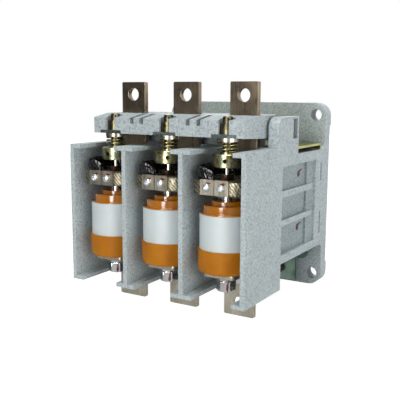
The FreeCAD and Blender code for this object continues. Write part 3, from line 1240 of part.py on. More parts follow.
def make_clamp(name, middle):
    """The block on the stem and the two square plates that press the shunt against it."""
    block = rounded_block("clamp_block_" + name, f"{middle} - block_half", f"{middle} + block_half",
                          "-block_front", "-block_rear", "block_bottom", "block_top",
                          "block_corner")
    sketch = sketch_on(block, "XY_Plane", "block_top")
    circle(sketch, middle, "pole_y", "stem_radius + thread_play")
    extrude(block, "Pocket", sketch, "block_top - block_bottom")
    sketch = sketch_on(block, "XZ_Plane", "-block_front")
    for side in (-1, 1):
        circle(sketch, f"{middle} + {side} * clamp_pitch / 2", "clamp_level",
               "clamp_screw / 2 + thread_play")
    extrude(block, "Pocket", sketch, "clamp_screw_grip + seating")
    pieces = [block]
    for side in (-1, 1):
        plate = loose(new_body(f"clamp_plate_{name}"))
        sketch = sketch_on(plate, "XZ_Plane")
        half = "clamp_side / 2"
        rectangle(sketch, f"-{half}", half, f"-{half}", half)
        extrude(plate, "Pad", sketch, "clamp_thick")
        soften(plate, "Fillet", "clamp_corner", lambda edge: runs_along(edge, ALONG_Y))
        sketch = sketch_on(plate, "XZ_Plane")
        circle(sketch, "0", "0", "clamp_screw / 2 + thread_play")
        extrude(plate, "Pocket", sketch, "clamp_thick", back=True)
        bind(plate, "Placement.Base.x", f"{middle} + {side} * clamp_pitch / 2")
        bind(plate, "Placement.Base.y", "-(block_front + braid_thick)")
        bind(plate, "Placement.Base.z", "clamp_level")
        pieces.append(plate)
    return pieces


make_frame()
for name, side in SIDES:
    make_cap(name, side)
for name, step in POLES:
    make_upper_terminal(name, step)
    make_lower_terminal(name, step)
    make_interrupter(name, step)
    make_shunt(name, step)
    make_stem(name, step)
make_inner_parts()
make_fasteners()
make_magnet()
make_bracket()
make_pads()
make_sleeves()
make_rocker()
make_rocker_fittings()

document.recompute()
for item in document.Objects:
    if "Invalid" in item.State or "Error" in item.State:
        raise RuntimeError(f"{item.Name} failed: {item.State}")
os.makedirs("parts", exist_ok=True)
for part in sub_parts:
    shape = part.Shape
    if shape.isNull() or not shape.isValid():
        raise RuntimeError(f"{part.Label} has no valid shape")
    shape.exportStep(f"parts/{part.Label}.step")
    box = shape.BoundBox
    print(part.Label, len(shape.Solids), round(shape.Volume / 1000, 2), "cm3",
          [round(value, 1) for value in (box.XMin, box.XMax, box.YMin, box.YMax, box.ZMin, box.ZMax)])
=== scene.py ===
# %% [markdown]
# # A vacuum contactor, finished in Blender
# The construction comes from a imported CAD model, whose solids sit in one frame in metres.
# This lesson leaves those solids where they are, gives each one the finish of its real
# material, and makes the few things that a solid model tells badly: the soft corners of
# turned ceramic and resin, wire springs, copper braid, wrinkled sleeving, domed screw heads
# and dabs of paint.

# %% Load the model
import bpy
import math
import numpy as np
from mathutils import Matrix, Vector


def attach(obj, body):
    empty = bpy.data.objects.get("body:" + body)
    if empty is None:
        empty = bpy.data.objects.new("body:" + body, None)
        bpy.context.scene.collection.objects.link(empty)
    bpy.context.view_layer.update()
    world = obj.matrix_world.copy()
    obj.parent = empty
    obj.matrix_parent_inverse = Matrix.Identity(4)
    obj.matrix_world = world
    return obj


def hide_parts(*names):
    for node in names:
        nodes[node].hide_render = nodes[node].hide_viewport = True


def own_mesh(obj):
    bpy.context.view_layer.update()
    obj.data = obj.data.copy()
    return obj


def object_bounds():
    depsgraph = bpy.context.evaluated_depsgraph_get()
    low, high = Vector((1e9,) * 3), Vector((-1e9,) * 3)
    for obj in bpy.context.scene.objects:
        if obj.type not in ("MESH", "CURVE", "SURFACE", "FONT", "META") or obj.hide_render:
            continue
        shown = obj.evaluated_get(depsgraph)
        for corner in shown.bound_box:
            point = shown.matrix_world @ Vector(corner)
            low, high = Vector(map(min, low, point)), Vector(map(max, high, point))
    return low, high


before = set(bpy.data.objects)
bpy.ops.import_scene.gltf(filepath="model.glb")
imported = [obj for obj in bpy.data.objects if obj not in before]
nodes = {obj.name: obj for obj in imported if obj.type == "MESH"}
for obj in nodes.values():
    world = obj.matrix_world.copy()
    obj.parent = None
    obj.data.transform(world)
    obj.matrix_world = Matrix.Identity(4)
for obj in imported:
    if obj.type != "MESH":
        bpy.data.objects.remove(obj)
cad_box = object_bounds()
MM = 0.001
POLES = {"left": -55, "centre": 0, "right": 55}

# %% [markdown]
# ## Camera
# The view of a product photograph is a position and a direction. Both were worked out from
# straight edges and holes of known size, so the camera is a matrix whose columns are its
# right, its up and the direction behind it. No part of the scene looks at the image size.
# The Standard view transform shows a colour as it was written, which suits a product on white.

# %% Camera
camera = bpy.data.objects.new("camera", bpy.data.cameras.new("camera"))
bpy.context.scene.collection.objects.link(camera)
right = Vector((0.85321023, 0.52154992, 0.0042406))
up = Vector((-0.0876048, 0.13528935, 0.98692563))
behind = Vector((0.51415727, -0.84242654, 0.16112054))
place = Matrix((right, up, behind)).transposed().to_4x4()
place.translation = Vector((301.07, -588.76, 94.37)) * MM
camera.matrix_world = place
camera.data.lens = 58.93
camera.data.sensor_width = 36
camera.data.clip_start = 0.01
bpy.context.scene.camera = camera
bpy.context.scene.view_settings.view_transform = "Standard"
print("camera", [round(value, 4) for value in place.translation])

# %% [markdown]
# ## Nodes for the finishes
# A finish is a small graph of nodes. It could be built by hand in the node editor, but in code
# one helper adds a node with its settings and links, so a finish reads as a list of what it
# does. Another turns an sRGB hex colour, as a colour picker gives it, into the linear values
# that a renderer works in. Patterns are sized in millimetres, and a third helper turns that
# size into a texture scale, because object coordinates are metres.

# %% Helpers for materials
def linear(code, alpha=1.0):
    """Each sRGB channel c becomes c / 12.92 up to 0.04045, and above that
    ((c + 0.055) / 1.055) ** 2.4."""
    parts = [int(code[i:i + 2], 16) / 255 for i in (1, 3, 5)]
    return [c / 12.92 if c <= 0.04045 else ((c + 0.055) / 1.055) ** 2.4 for c in parts] + [alpha]


def add(material, kind, settings, links=None):
    """Adds one node: settings are its properties or inputs, links its inputs fed by sockets."""
    node = material.node_tree.nodes.new("ShaderNode" + kind)
    for name, value in settings.items():
        if name == "stops":
            ramp = node.color_ramp
            while len(ramp.elements) < len(value):
                ramp.elements.new(0.5)
            for element, (position, colour) in zip(ramp.elements, value):
                element.position = position
                element.color = linear(colour)
        elif isinstance(name, str) and hasattr(node, name):
            setattr(node, name, value)
        else:
            node.inputs[name].default_value = value
    for name, socket in (links or {}).items():
        material.node_tree.links.new(socket, node.inputs[name])
    return node


def new_material(name):
    """An empty node material, and the object coordinates that patterns read."""
    material = bpy.data.materials.new(name)
    material.use_nodes = True
    material.node_tree.nodes.clear()
    place = add(material, "TexCoord", {}).outputs["Object"]
    return material, place


def close(material, shader):
    """Links the finished shader to the material's output."""
    add(material, "OutputMaterial", {}, {"Surface": shader.outputs[0]})
    return material


def per(millimetres):
    """The texture scale at which one feature of the pattern is this many millimetres wide."""
    return 1000 / millimetres


print("hex #808080 is linear", round(linear("#808080")[0], 4))

# %% [markdown]
# ## Studio
# The photograph has soft light on a white ground: a softbox at the front, a large one at the
# right, one overhead, and a weaker one behind. What a lamp does to matt plastic and what it
# does to bright metal are two things. The lamps light the plastic. The metal and the varnish
# mirror the room: a white table near the object, a dim room beyond its edge, a bright wall
# behind, and a tall softbox in front. A picture of a real studio could serve as that room, but
# a few numbers by direction are easier to change, and only glossy rays see them, so the room
# can be set by itself.

# %% World
def new_world():
    """Plain white to the camera, weak to matt surfaces, and to glossy rays a room by direction:
    bright towards +Y and a little towards +X, dim towards -Y and -X."""
    world = bpy.data.worlds.new("studio")
    bpy.context.scene.world = world
    world.use_nodes = True
    world.node_tree.nodes.clear()
    way = add(world, "TexCoord", {}).outputs["Generated"]
    axes = add(world, "SeparateXYZ", {}, {0: way})
    lean = add(world, "Math", {"operation": "MULTIPLY_ADD", 1: 0.6},
               {0: axes.outputs["X"], 2: axes.outputs["Y"]})
    fade = add(world, "MapRange", {"From Min": -0.8, "From Max": 0.9, "To Min": 0.12,
                                   "To Max": 1.1}, {0: lean.outputs[0]})
    ray = add(world, "LightPath", {})
    sees = add(world, "Math", {"operation": "MAXIMUM"},
               {0: ray.outputs["Is Camera Ray"], 1: ray.outputs["Is Transmission Ray"]})
    soft = add(world, "Background", {"Color": linear("#F4F7FA"), "Strength": 0.08})
    room = add(world, "Background", {"Color": linear("#FCFDFF")}, {"Strength": fade.outputs[0]})
    white = add(world, "Background", {"Color": linear("#FFFFFF"), "Strength": 1.0})
    shiny = add(world, "MixShader", {}, {0: ray.outputs["Is Glossy Ray"], 1: soft.outputs[0],
                                         2: room.outputs[0]})
    full = add(world, "MixShader", {}, {0: sees.outputs[0], 1: shiny.outputs[0],
                                        2: white.outputs[0]})
    add(world, "OutputWorld", {}, {"Surface": full.outputs[0]})


new_world()
print("world", bpy.context.scene.world.name)


# %% Table and card
def sheet_of(name, corners, material):
    """One flat four-cornered sheet for the studio."""
    mesh = bpy.data.meshes.new(name)
    mesh.from_pydata(corners, [], [(0, 1, 2, 3)])
    mesh.materials.append(material)
    obj = bpy.data.objects.new(name, mesh)
    bpy.context.scene.collection.objects.link(obj)
    return obj


def white_table():
    """White paper that bounces light up. The camera sees it almost white with a faint shadow.
    Glossy rays see a white disc of half a metre round the object and the world beyond it."""
    paper, place = new_material("white_studio_paper")
    ray = add(paper, "LightPath", {})
    away = add(paper, "VectorMath", {"operation": "LENGTH"}, {0: place})
    near = add(paper, "MapRange", {"interpolation_type": "SMOOTHSTEP", "From Min": 0.58,
                                   "From Max": 0.46}, {0: away.outputs["Value"]})
    sheet = add(paper, "BsdfDiffuse", {"Color": linear("#F0F0F0")})
    shaded = add(paper, "BsdfDiffuse", {"Color": linear("#808080")})
    glow = add(paper, "Emission", {"Color": linear("#FFFFFF"), "Strength": 0.98})
    seen = add(paper, "AddShader", {}, {0: shaded.outputs[0], 1: glow.outputs[0]})
    mirrored = add(paper, "Emission", {"Color": linear("#FFFFFF"), "Strength": 0.55})
    passed = add(paper, "BsdfTransparent", {})
    gloss = add(paper, "MixShader", {}, {0: near.outputs[0], 1: passed.outputs[0],
                                         2: mirrored.outputs[0]})
    matt = add(paper, "MixShader", {}, {0: ray.outputs["Is Glossy Ray"], 1: sheet.outputs[0],
                                        2: gloss.outputs[0]})
    mixed = add(paper, "MixShader", {}, {0: ray.outputs["Is Camera Ray"], 1: matt.outputs[0],
                                         2: seen.outputs[0]})
    return close(paper, mixed)


def glowing_card(strength):
    """The front of the tall softbox, as varnish and bright metal mirror it."""
    card = new_material("softbox_cloth")[0]
    return close(card, add(card, "Emission", {"Color": linear("#FFFFFF"), "Strength": strength}))


# In metres: the gap under the object, half the floor's width, and where the softbox stands
FLOOR_GAP, FLOOR_REACH = 0.0004, 6
CARD_LEFT, CARD_RIGHT, CARD_Y, CARD_TOP = -0.02, 0.16, -0.7, 0.3
floor = cad_box[0][2] - FLOOR_GAP
sheet_of("floor", [(x * FLOOR_REACH, y * FLOOR_REACH, floor)
                   for x, y in ((-1, -1), (1, -1), (1, 1), (-1, 1))], white_table())
card = sheet_of("softbox_mirror", [(CARD_LEFT, CARD_Y, floor), (CARD_RIGHT, CARD_Y, floor),
                                   (CARD_RIGHT, CARD_Y, CARD_TOP), (CARD_LEFT, CARD_Y, CARD_TOP)],
                glowing_card(10.0))
for kind in ("camera", "diffuse", "shadow", "transmission", "volume_scatter"):
    setattr(card, "visible_" + kind, False)


# %% Lights
AIM = Vector((0, -0.09, 0))


def soft_light(name, turn, rise, distance, width, power):
    """A square softbox that faces AIM: turn from -Y towards +X and rise above the horizon, in
    degrees, distance and width in metres, power in watts."""
    lamp = bpy.data.lights.new(name, "AREA")
    lamp.size = width
    lamp.energy = power
    lamp.color = linear("#FFFEFC")[:3]
    obj = bpy.data.objects.new(name, lamp)
    bpy.context.scene.collection.objects.link(obj)
    turn, rise = math.radians(turn), math.radians(rise)
    away = Vector((math.sin(turn) * math.cos(rise), -math.cos(turn) * math.cos(rise),
                   math.sin(rise)))
    obj.location = AIM + away * distance
    obj.rotation_euler = away.to_track_quat("Z", "Y").to_euler()


soft_light("key", 8, 12, 0.9, 0.4, 2.45)
soft_light("side", 76, -1, 2.4, 1.4, 41.0)
soft_light("overhead", 20, 80, 2.4, 1.4, 46.0)
soft_light("rear", 200, 3, 2.4, 1.4, 20.0)
print("lights", [lamp.name for lamp in bpy.data.lights])

# %% [markdown]
# ## Moulded housing
# The frame and the rocker are a glass-filled polyester moulding compound. It is pressed hot,
# and its mineral filler shows as a fine blue-grey granite speckle under a skin that is nearly
# matt. A picture of the compound could be wrapped round the parts, but noise in object
# coordinates has no seams and keeps the grain at its real size: one layer for the grains, a
# wide one that shades whole areas, and a fine one for the bump of the skin.
# Painted shade darkens the colour between walls and on the floors of the side windows.

# %% Moulding compound
def painted_nook_shade(material, reach, darkest):
    """A factor from darkest, deep in a nook, to 1 in the open: painted shade for the light that is
    lost between walls nearer than reach, in metres."""
    shadow = add(material, "AmbientOcclusion", {"samples": 8, "Distance": reach})
    return add(material, "MapRange", {"From Min": 0.15, "From Max": 0.75, "To Min": darkest,
                                      "To Max": 1.0}, {0: shadow.outputs["AO"]}).outputs[0]


def recess(material, place):
    """1 on the floors of the side windows, where painted shade darkens and blues the colour, else
    0:
    the product of soft steps at their borders in |x|, y and z, given in mm."""
    axes = add(material, "SeparateXYZ", {}, {0: place})
    across = add(material, "Math", {"operation": "ABSOLUTE"}, {0: axes.outputs["X"]}).outputs[0]
    borders = [(across, 79.5, 80.0), (across, 83.4, 82.9), (axes.outputs["Y"], -112.5, -112.0),
               (axes.outputs["Y"], -33.0, -33.5), (axes.outputs["Z"], -38.0, -37.6),
               (axes.outputs["Z"], 35.9, 35.5)]
    steps = [add(material, "MapRange", {"From Min": outside * MM, "From Max": inside * MM},
                 {0: value}).outputs[0] for value, outside, inside in borders]
    result = steps[0]
    for step in steps[1:]:
        result = add(material, "Math", {"operation": "MULTIPLY"}, {0: result, 1: step}).outputs[0]
    return result


def moulding_compound(name, pale, middle, dark, window_painted_shade):
    """Pressed glass-filled polyester: satin, speckled by its filler, faintly uneven skin, with
    painted shade between walls and on the floors of the side windows.
    """
    material, place = new_material(name)
    grain = add(material, "TexNoise", {"Scale": per(1.7), "Detail": 4.0, "Roughness": 0.8},
                {"Vector": place})
    tone = add(material, "ValToRGB", {"stops": [(0.38, dark), (0.48, middle), (0.62, pale)]},
               {0: grain.outputs[0]})
    cloud = add(material, "TexNoise", {"Scale": per(40), "Detail": 2.0}, {"Vector": place})
    shade = add(material, "MapRange", {"From Min": 0.3, "From Max": 0.7, "To Min": 0.94,
                                       "To Max": 1.04}, {0: cloud.outputs[0]})
    # Painted shade: the wide tone falls to 0.8 between walls nearer than 30 mm
    depth = add(material, "Math", {"operation": "MULTIPLY"},
                {0: shade.outputs[0], 1: painted_nook_shade(material, 0.03, 0.8)})
    # Painted shade: on the floors of the side windows the colour is multiplied by a darker, bluer
    # grey
    with_window_shade = add(material, "Mix", {"data_type": "RGBA", "blend_type": "MULTIPLY",
                                   7: linear(window_painted_shade)},
                 {0: recess(material, place), 6: tone.outputs[0]})
    colour = add(material, "Mix", {"data_type": "RGBA", "blend_type": "MULTIPLY", 0: 1.0},
                 {6: with_window_shade.outputs[2], 7: depth.outputs[0]})
    skin = add(material, "TexNoise", {"Scale": per(0.9), "Detail": 2.0}, {"Vector": place})
    bump = add(material, "Bump", {"Strength": 0.25, "Distance": 0.00006},
               {"Height": skin.outputs[0]})
    rough = add(material, "MapRange", {"To Min": 0.46, "To Max": 0.62}, {0: grain.outputs[0]})
    shader = add(material, "BsdfPrincipled", {"IOR": 1.52},
                 {"Base Color": colour.outputs[2], "Roughness": rough.outputs[0],
                  "Normal": bump.outputs[0]})
    return close(material, shader)


# Pressed polyester with glass and mineral filler: pale blue-grey grains, a nearly matt skin, and a
# darker, bluer grey as painted shade on the floors of the side windows
moulding = moulding_compound("polyester_moulding_pressed", "#C4CDCE", "#B0BBBE", "#8796A0",
                             "#D9DEDF")
print("finish", moulding.name)

# %% [markdown]
# ## Metals
# Every metal here is a plated or rolled sheet, bar or wire. A metal has no colour of its own
# apart from its reflection, so the base colour is the tint of that reflection, and what tells
# one from another is its roughness: streaks along a brushed bar, bands of colour in a zinc
# chromate film, a hard clear shine on nickel. Images of worn metal could give all that, but
# noise drawn out along the bar, or run through a colour ramp, does it at any size.

# %% Metals
def streaked_metal(name, pale, dark, rough, streak):
    """Rolled and brushed bar: noise drawn out along Z gives fine streaks in tint and gloss."""
    material, place = new_material(name)
    drawn = add(material, "Mapping", {"Scale": (1.0, 1.0, 0.06)}, {"Vector": place})
    lines = add(material, "TexNoise", {"Scale": per(streak), "Detail": 4.0, "Roughness": 0.7},
                {"Vector": drawn.outputs[0]})
    stain = add(material, "TexNoise", {"Scale": per(14), "Detail": 3.0}, {"Vector": place})
    level = add(material, "Mix", {"data_type": "FLOAT", 0: 0.5},
                {2: lines.outputs[0], 3: stain.outputs[0]})
    tint = add(material, "ValToRGB", {"stops": [(0.36, dark), (0.62, pale)]},
               {0: level.outputs[0]})
    gloss = add(material, "MapRange", {"From Min": 0.3, "From Max": 0.7, "To Min": rough - 0.03,
                                       "To Max": rough + 0.06}, {0: level.outputs[0]})
    bump = add(material, "Bump", {"Strength": 0.08, "Distance": 0.00004},
               {"Height": lines.outputs[0]})
    shader = add(material, "BsdfPrincipled", {"Metallic": 1.0},
                 {"Base Color": tint.outputs[0], "Roughness": gloss.outputs[0],
                  "Normal": bump.outputs[0]})
    return close(material, shader)


def chromated_zinc(name, stops, rough, size):
    """Zinc plate with a yellow chromate film, whose thickness varies and changes its colour."""
    material, place = new_material(name)
    film = add(material, "TexNoise", {"Scale": per(size), "Detail": 3.0, "Distortion": 0.6},
               {"Vector": place})
    tint = add(material, "ValToRGB", {"stops": stops}, {0: film.outputs[0]})
    fine = add(material, "TexNoise", {"Scale": per(0.8), "Detail": 2.0}, {"Vector": place})
    gloss = add(material, "MapRange", {"To Min": rough - 0.06, "To Max": rough + 0.12},
                {0: fine.outputs[0]})
    bump = add(material, "Bump", {"Strength": 0.15, "Distance": 0.00005},
               {"Height": fine.outputs[0]})
    shader = add(material, "BsdfPrincipled", {"Metallic": 1.0},
                 {"Base Color": tint.outputs[0], "Roughness": gloss.outputs[0],
                  "Normal": bump.outputs[0]})
    return close(material, shader)


def two_finishes(name, axis, limit, low, high):
    """One node whose pieces differ: below limit, in mm along an axis, it has the finish low, and
    above it the finish high. A finish is two colours, their roughness and a streak width."""
    material, place = new_material(name)
    axes = add(material, "SeparateXYZ", {}, {0: place})
    upper = add(material, "Math", {"operation": "GREATER_THAN", 1: limit * MM},
                {0: axes.outputs[axis]}).outputs[0]
    tints, levels = [], []
    for pale, dark, rough, size in (low, high):
        cloud = add(material, "TexNoise", {"Scale": per(size), "Detail": 3.0}, {"Vector": place})
        tint = add(material, "ValToRGB", {"stops": [(0.4, dark), (0.6, pale)]},
                   {0: cloud.outputs[0]})
        tints.append(tint.outputs[0])
        level = add(material, "MapRange", {"To Min": rough * 0.8, "To Max": rough * 1.3},
                    {0: cloud.outputs[0]})
        levels.append(level.outputs[0])
    colour = add(material, "Mix", {"data_type": "RGBA"}, {0: upper, 6: tints[0], 7: tints[1]})
    gloss = add(material, "Mix", {"data_type": "FLOAT"}, {0: upper, 2: levels[0], 3: levels[1]})
    shader = add(material, "BsdfPrincipled", {"Metallic": 1.0},
                 {"Base Color": colour.outputs[2], "Roughness": gloss.outputs[0]})
    return close(material, shader)


def woven_braid(name, pale, dark, rough, strand):
    """Tinned braid: slanting wavy bands, a strand width apart in mm, stand for its strands, which
    are far finer and are drawn this coarse so that they show. A diagonal wave of scale 1 has
    its bands 2 pi / (10 sqrt 3) apart."""
    material, place = new_material(name)
    bands = add(material, "TexWave", {"bands_direction": "DIAGONAL",
                                      "Scale": per(strand) * 2 * math.pi / 10 / math.sqrt(3),
                                      "Distortion": 5.0, "Detail": 4.0, "Detail Scale": 2.0},
                {"Vector": place})
    stain = add(material, "TexNoise", {"Scale": per(6), "Detail": 3.0}, {"Vector": place})
    level = add(material, "Mix", {"data_type": "FLOAT", 0: 0.4},
                {2: bands.outputs["Fac"], 3: stain.outputs[0]})
    tint = add(material, "ValToRGB", {"stops": [(0.25, dark), (0.7, pale)]},
               {0: level.outputs[0]})
    bump = add(material, "Bump", {"Strength": 0.5, "Distance": 0.0002},
               {"Height": bands.outputs["Fac"]})
    gloss = add(material, "MapRange", {"To Min": rough + 0.1, "To Max": rough - 0.1},
                {0: level.outputs[0]})
    shader = add(material, "BsdfPrincipled", {"Metallic": 1.0},
                 {"Base Color": tint.outputs[0], "Roughness": gloss.outputs[0],
                  "Normal": bump.outputs[0]})
    return close(material, shader)


# Tinned copper bar, brushed: streaks up the bar, warm grey where the tin has darkened
upper_bar = streaked_metal("tinned_copper_bar_brushed", "#9F907A", "#75685A", 0.28, 1.2)
# The same bar left satin: paler, with softer and wider reflections
lower_bar = streaked_metal("tinned_copper_bar_satin", "#C4BEAE", "#9A9482", 0.36, 1.6)
# Stamped brass with tarnished tin: cloudy, pale and olive in patches
clamp_plate = streaked_metal("tinned_brass_plate_tarnished", "#C4BEAE", "#77725F", 0.4, 2.2)
# Nickel plate: very nearly a clear mirror, faintly warm
bright = streaked_metal("nickel_plate_bright", "#E6E4E4", "#C9C7C8", 0.12, 2.0)
# Phosphated steel: dark grey and dull
core_steel = streaked_metal("core_steel_phosphated", "#585B58", "#353836", 0.5, 1.0)
# Yellow chromate on zinc plate: bands of olive, straw and grey-green in a satin mirror
zinc_stops = [(0.34, "#6F6A48"), (0.45, "#9A9268"), (0.53, "#BDB692"), (0.66, "#77836C")]
zinc = chromated_zinc("zinc_plate_yellow_chromate", zinc_stops, 0.26, 9)
# The same film on drawn wire: smaller bands, darker and shinier
wire_stops = [(0.34, "#67613F"), (0.45, "#898056"), (0.53, "#ABA27A"), (0.66, "#6C7458")]
spring_wire = chromated_zinc("spring_wire_chromated", wire_stops, 0.2, 5)
# Zinc plate on each pull rod: bright and clear on the neck; higher up a dull olive film, painted
# darker still as shade where it runs into the slot of the beam
rods_with_painted_shade = two_finishes("rod_zinc_bright_and_olive_with_painted_shade", "Z", 40,
                    ("#D9D8CE", "#A9A797", 0.14, 3.0), ("#67624A", "#423E2C", 0.3, 4.0))
# Chromated sheet: its film is green low on the bracket and yellow above
sheet_zinc = two_finishes("sheet_steel_chromated_green_and_yellow", "Z", -40,
                          ("#8DA596", "#56796D", 0.3, 20.0), ("#B9B573", "#8C955F", 0.3, 26.0))
# Clear zinc on the clamp screws in front, yellow zinc gone brown on the lock nuts behind
fasteners = two_finishes("fasteners_silver_and_yellow_zinc", "Y", -156,
                         ("#E4E8EA", "#B9C0C3", 0.32, 2.0), ("#726C50", "#48442F", 0.28, 4.0))
# Bright steel cup washers under the beam, and blackened seat plates above them
seats = two_finishes("seat_steel_blackened_and_bright", "Z", 60.5,
                     ("#B0ACA2", "#807C70", 0.3, 3.0), ("#76827F", "#566260", 0.42, 3.0))
# Woven tinned wire: it glitters in slanting lines and is dark between them
braid = woven_braid("tinned_copper_braid_woven", "#A8A08A", "#635D4B", 0.42, 2.05)
print("metals", [m.name for m in (upper_bar, lower_bar, bright, zinc, sheet_zinc, braid)])

# %% [markdown]
# ## Ceramic, resin and rubber
# The interrupter tube is glazed alumina, dense and slightly translucent. Its caps are covered
# in an orange resin that runs smooth and shines like varnish. Sleeves and pads are black. Each
# could have a graph of its own, but one recipe serves them all, slow noise in colour and in
# gloss, and they differ in its numbers: a coat for varnish, light that enters alumina.

# %% Ceramic, resin, plastics
def smooth_stuff(name, pale, dark, rough, size, **extra):
    """A smooth poured, moulded or glazed skin: slow shading in colour, faint waves in gloss."""
    material, place = new_material(name)
    cloud = add(material, "TexNoise", {"Scale": per(size), "Detail": 2.0}, {"Vector": place})
    tint = add(material, "ValToRGB", {"stops": [(0.35, dark), (0.65, pale)]},
               {0: cloud.outputs[0]})
    wave = add(material, "TexNoise", {"Scale": per(size / 3), "Detail": 1.0}, {"Vector": place})
    gloss = add(material, "MapRange", {"To Min": rough * 0.7, "To Max": rough * 1.4},
                {0: wave.outputs[0]})
    bump = add(material, "Bump", {"Strength": 0.12, "Distance": 0.0002},
               {"Height": wave.outputs[0]})
    values = {key.replace("_", " "): value for key, value in extra.items()}
    shader = add(material, "BsdfPrincipled", values,
                 {"Base Color": tint.outputs[0], "Roughness": gloss.outputs[0],
                  "Normal": bump.outputs[0]})
    return close(material, shader)


# Glazed alumina: white with a bluish cast and a broad soft highlight
ceramic = smooth_stuff("alumina_glazed", "#D1DBDE", "#CCD6D9", 0.5, 20, IOR=1.6,
                       Subsurface_Weight=0.25, Subsurface_Scale=0.002)
# Poured epoxy, orange: deep in colour under a skin like varnish
resin = smooth_stuff("epoxy_resin_orange_poured", "#C27B18", "#B76F13", 0.1, 16, IOR=1.55,
                     Coat_Weight=1.0, Coat_Roughness=0.05)
# The same resin in a thin dip: almost matt, a little browner
dip = smooth_stuff("epoxy_resin_orange_dipped", "#B97517", "#AE6912", 0.36, 16, IOR=1.55,
                   Specular_IOR_Level=0.1)
# Varnished sleeving: black, with small hard highlights on each crease
black_sleeve = smooth_stuff("varnished_sleeving_black", "#121213", "#080809", 0.16, 6, IOR=1.5,
                            Coat_Weight=0.3, Coat_Roughness=0.06)
# Moulded rubber, natural nylon and wound tape sit inside: dull black, milky, dull brown
rubber = smooth_stuff("rubber_moulded", "#242424", "#1A1A1A", 0.6, 5, IOR=1.5)
nylon = smooth_stuff("nylon_moulded", "#D9D5C8", "#C9C4B5", 0.4, 12, IOR=1.53)
tape = smooth_stuff("winding_tape", "#3C3330", "#2C2523", 0.5, 4, IOR=1.5)
# Locking paint from a brush: thick, dark red, darker where it pools
paint = smooth_stuff("locking_paint_red", "#8A1823", "#470B11", 0.3, 1.2, IOR=1.5)
print("plastics", [m.name for m in (ceramic, resin, black_sleeve, rubber, nylon, tape)])

# %% [markdown]
# ## Which finish on which solid
# A carried-over solid keeps its mesh, and its material slots take the new finish. Faces could
# be coloured one by one, but whole nodes are enough here: where a node holds pieces of two
# finishes, its material tells them apart by their place.

# %% Dress the solids
def dress(material, *names):
    """Every material slot of these nodes takes the material."""
    for name in names:
        node = nodes[name]
        if not node.material_slots:
            node.data.materials.append(material)
        for slot in node.material_slots:
            slot.material = material


def each(name):
    """The three nodes of one kind, one per pole."""
    return [f"{name}_{side}" for side in POLES]


dress(moulding, "frame", "rocker", "bearing_cap_left", "bearing_cap_right")
dress(upper_bar, *each("upper_terminal"))
dress(lower_bar, *each("lower_terminal"))
dress(ceramic, *each("interrupter_ceramic"))
dress(resin, *each("interrupter_top_cap"))
dress(dip, *each("interrupter_bottom_cup"))
dress(zinc, *each("collar"), "bearing_cap_screws", "coil_terminals")
dress(rods_with_painted_shade, *each("pull_rod"))
dress(fasteners, *each("stem_fasteners"))
dress(clamp_plate, *each("shunt_clamp"))
dress(spring_wire, *each("contact_spring"), "return_spring")
dress(sheet_zinc, "magnet_bracket")
dress(bright, "interrupter_nuts", "terminal_screws", "pivot_shaft", "armature_screws",
      "bellows", "vapour_shields", "fixed_contacts", *each("moving_contact"))
dress(seats, "spring_seats")
dress(core_steel, "magnet_yoke", "magnet_cores", "armature", "magnet_screws")
dress(braid, *each("flexible_shunt"))
dress(nylon, "coil_bobbins")
dress(tape, "coil_windings")
dress(rubber, "stop_pads")
dress(black_sleeve, "shunt_sleeves")
left_over = [name for name in nodes if not nodes[name].material_slots[0].material]
print("nodes without a finish", left_over)

# %% [markdown]
# ## Rounded edges
# Every moulded, sheared or folded edge is slightly round and catches a thin line of light. The
# solids could have such fillets, but hundreds of tiny faces would make them heavy, so modifiers
# round the edges here. They change what is seen and leave the mesh itself alone.

# %% Round the edges
def round_edges(name, width):
    """Three modifiers: Weld joins the loose triangles, planar Decimate makes each flat face one
    face again, and Bevel rounds every edge sharper than 40 degrees, by width in mm."""
    weld = nodes[name].modifiers.new("weld", "WELD")
    weld.merge_threshold = 0.02 * MM
    flat = nodes[name].modifiers.new("flat_faces", "DECIMATE")
    flat.decimate_type = "DISSOLVE"
    flat.angle_limit = math.radians(1)
    bevel = nodes[name].modifiers.new("rounded_edges", "BEVEL")
    bevel.width = width * MM
    bevel.segments = 2
    bevel.limit_method = "ANGLE"
    bevel.angle_limit = math.radians(40)


# In mm: the rounding of pressed moulding compound and of sheared bar and sheet
MOULDED_EDGE, SHEARED_EDGE = 0.4, 0.3
for name in ("frame", "rocker", "bearing_cap_left", "bearing_cap_right"):
    round_edges(name, MOULDED_EDGE)
for name in each("upper_terminal") + each("lower_terminal") + ["magnet_bracket"]:
    round_edges(name, SHEARED_EDGE)
print("rounded", [name for name in nodes if nodes[name].modifiers])

# %% [markdown]
# ## Surfaces from arrays
# A new piece is a skin through rings of points. Bevelled curves and chains of modifiers could
# make some of the pieces, but a formula makes them all: the rings come from numpy as one array,
# so a spring, a braid and a sleeve differ only in the ring that travels along them.

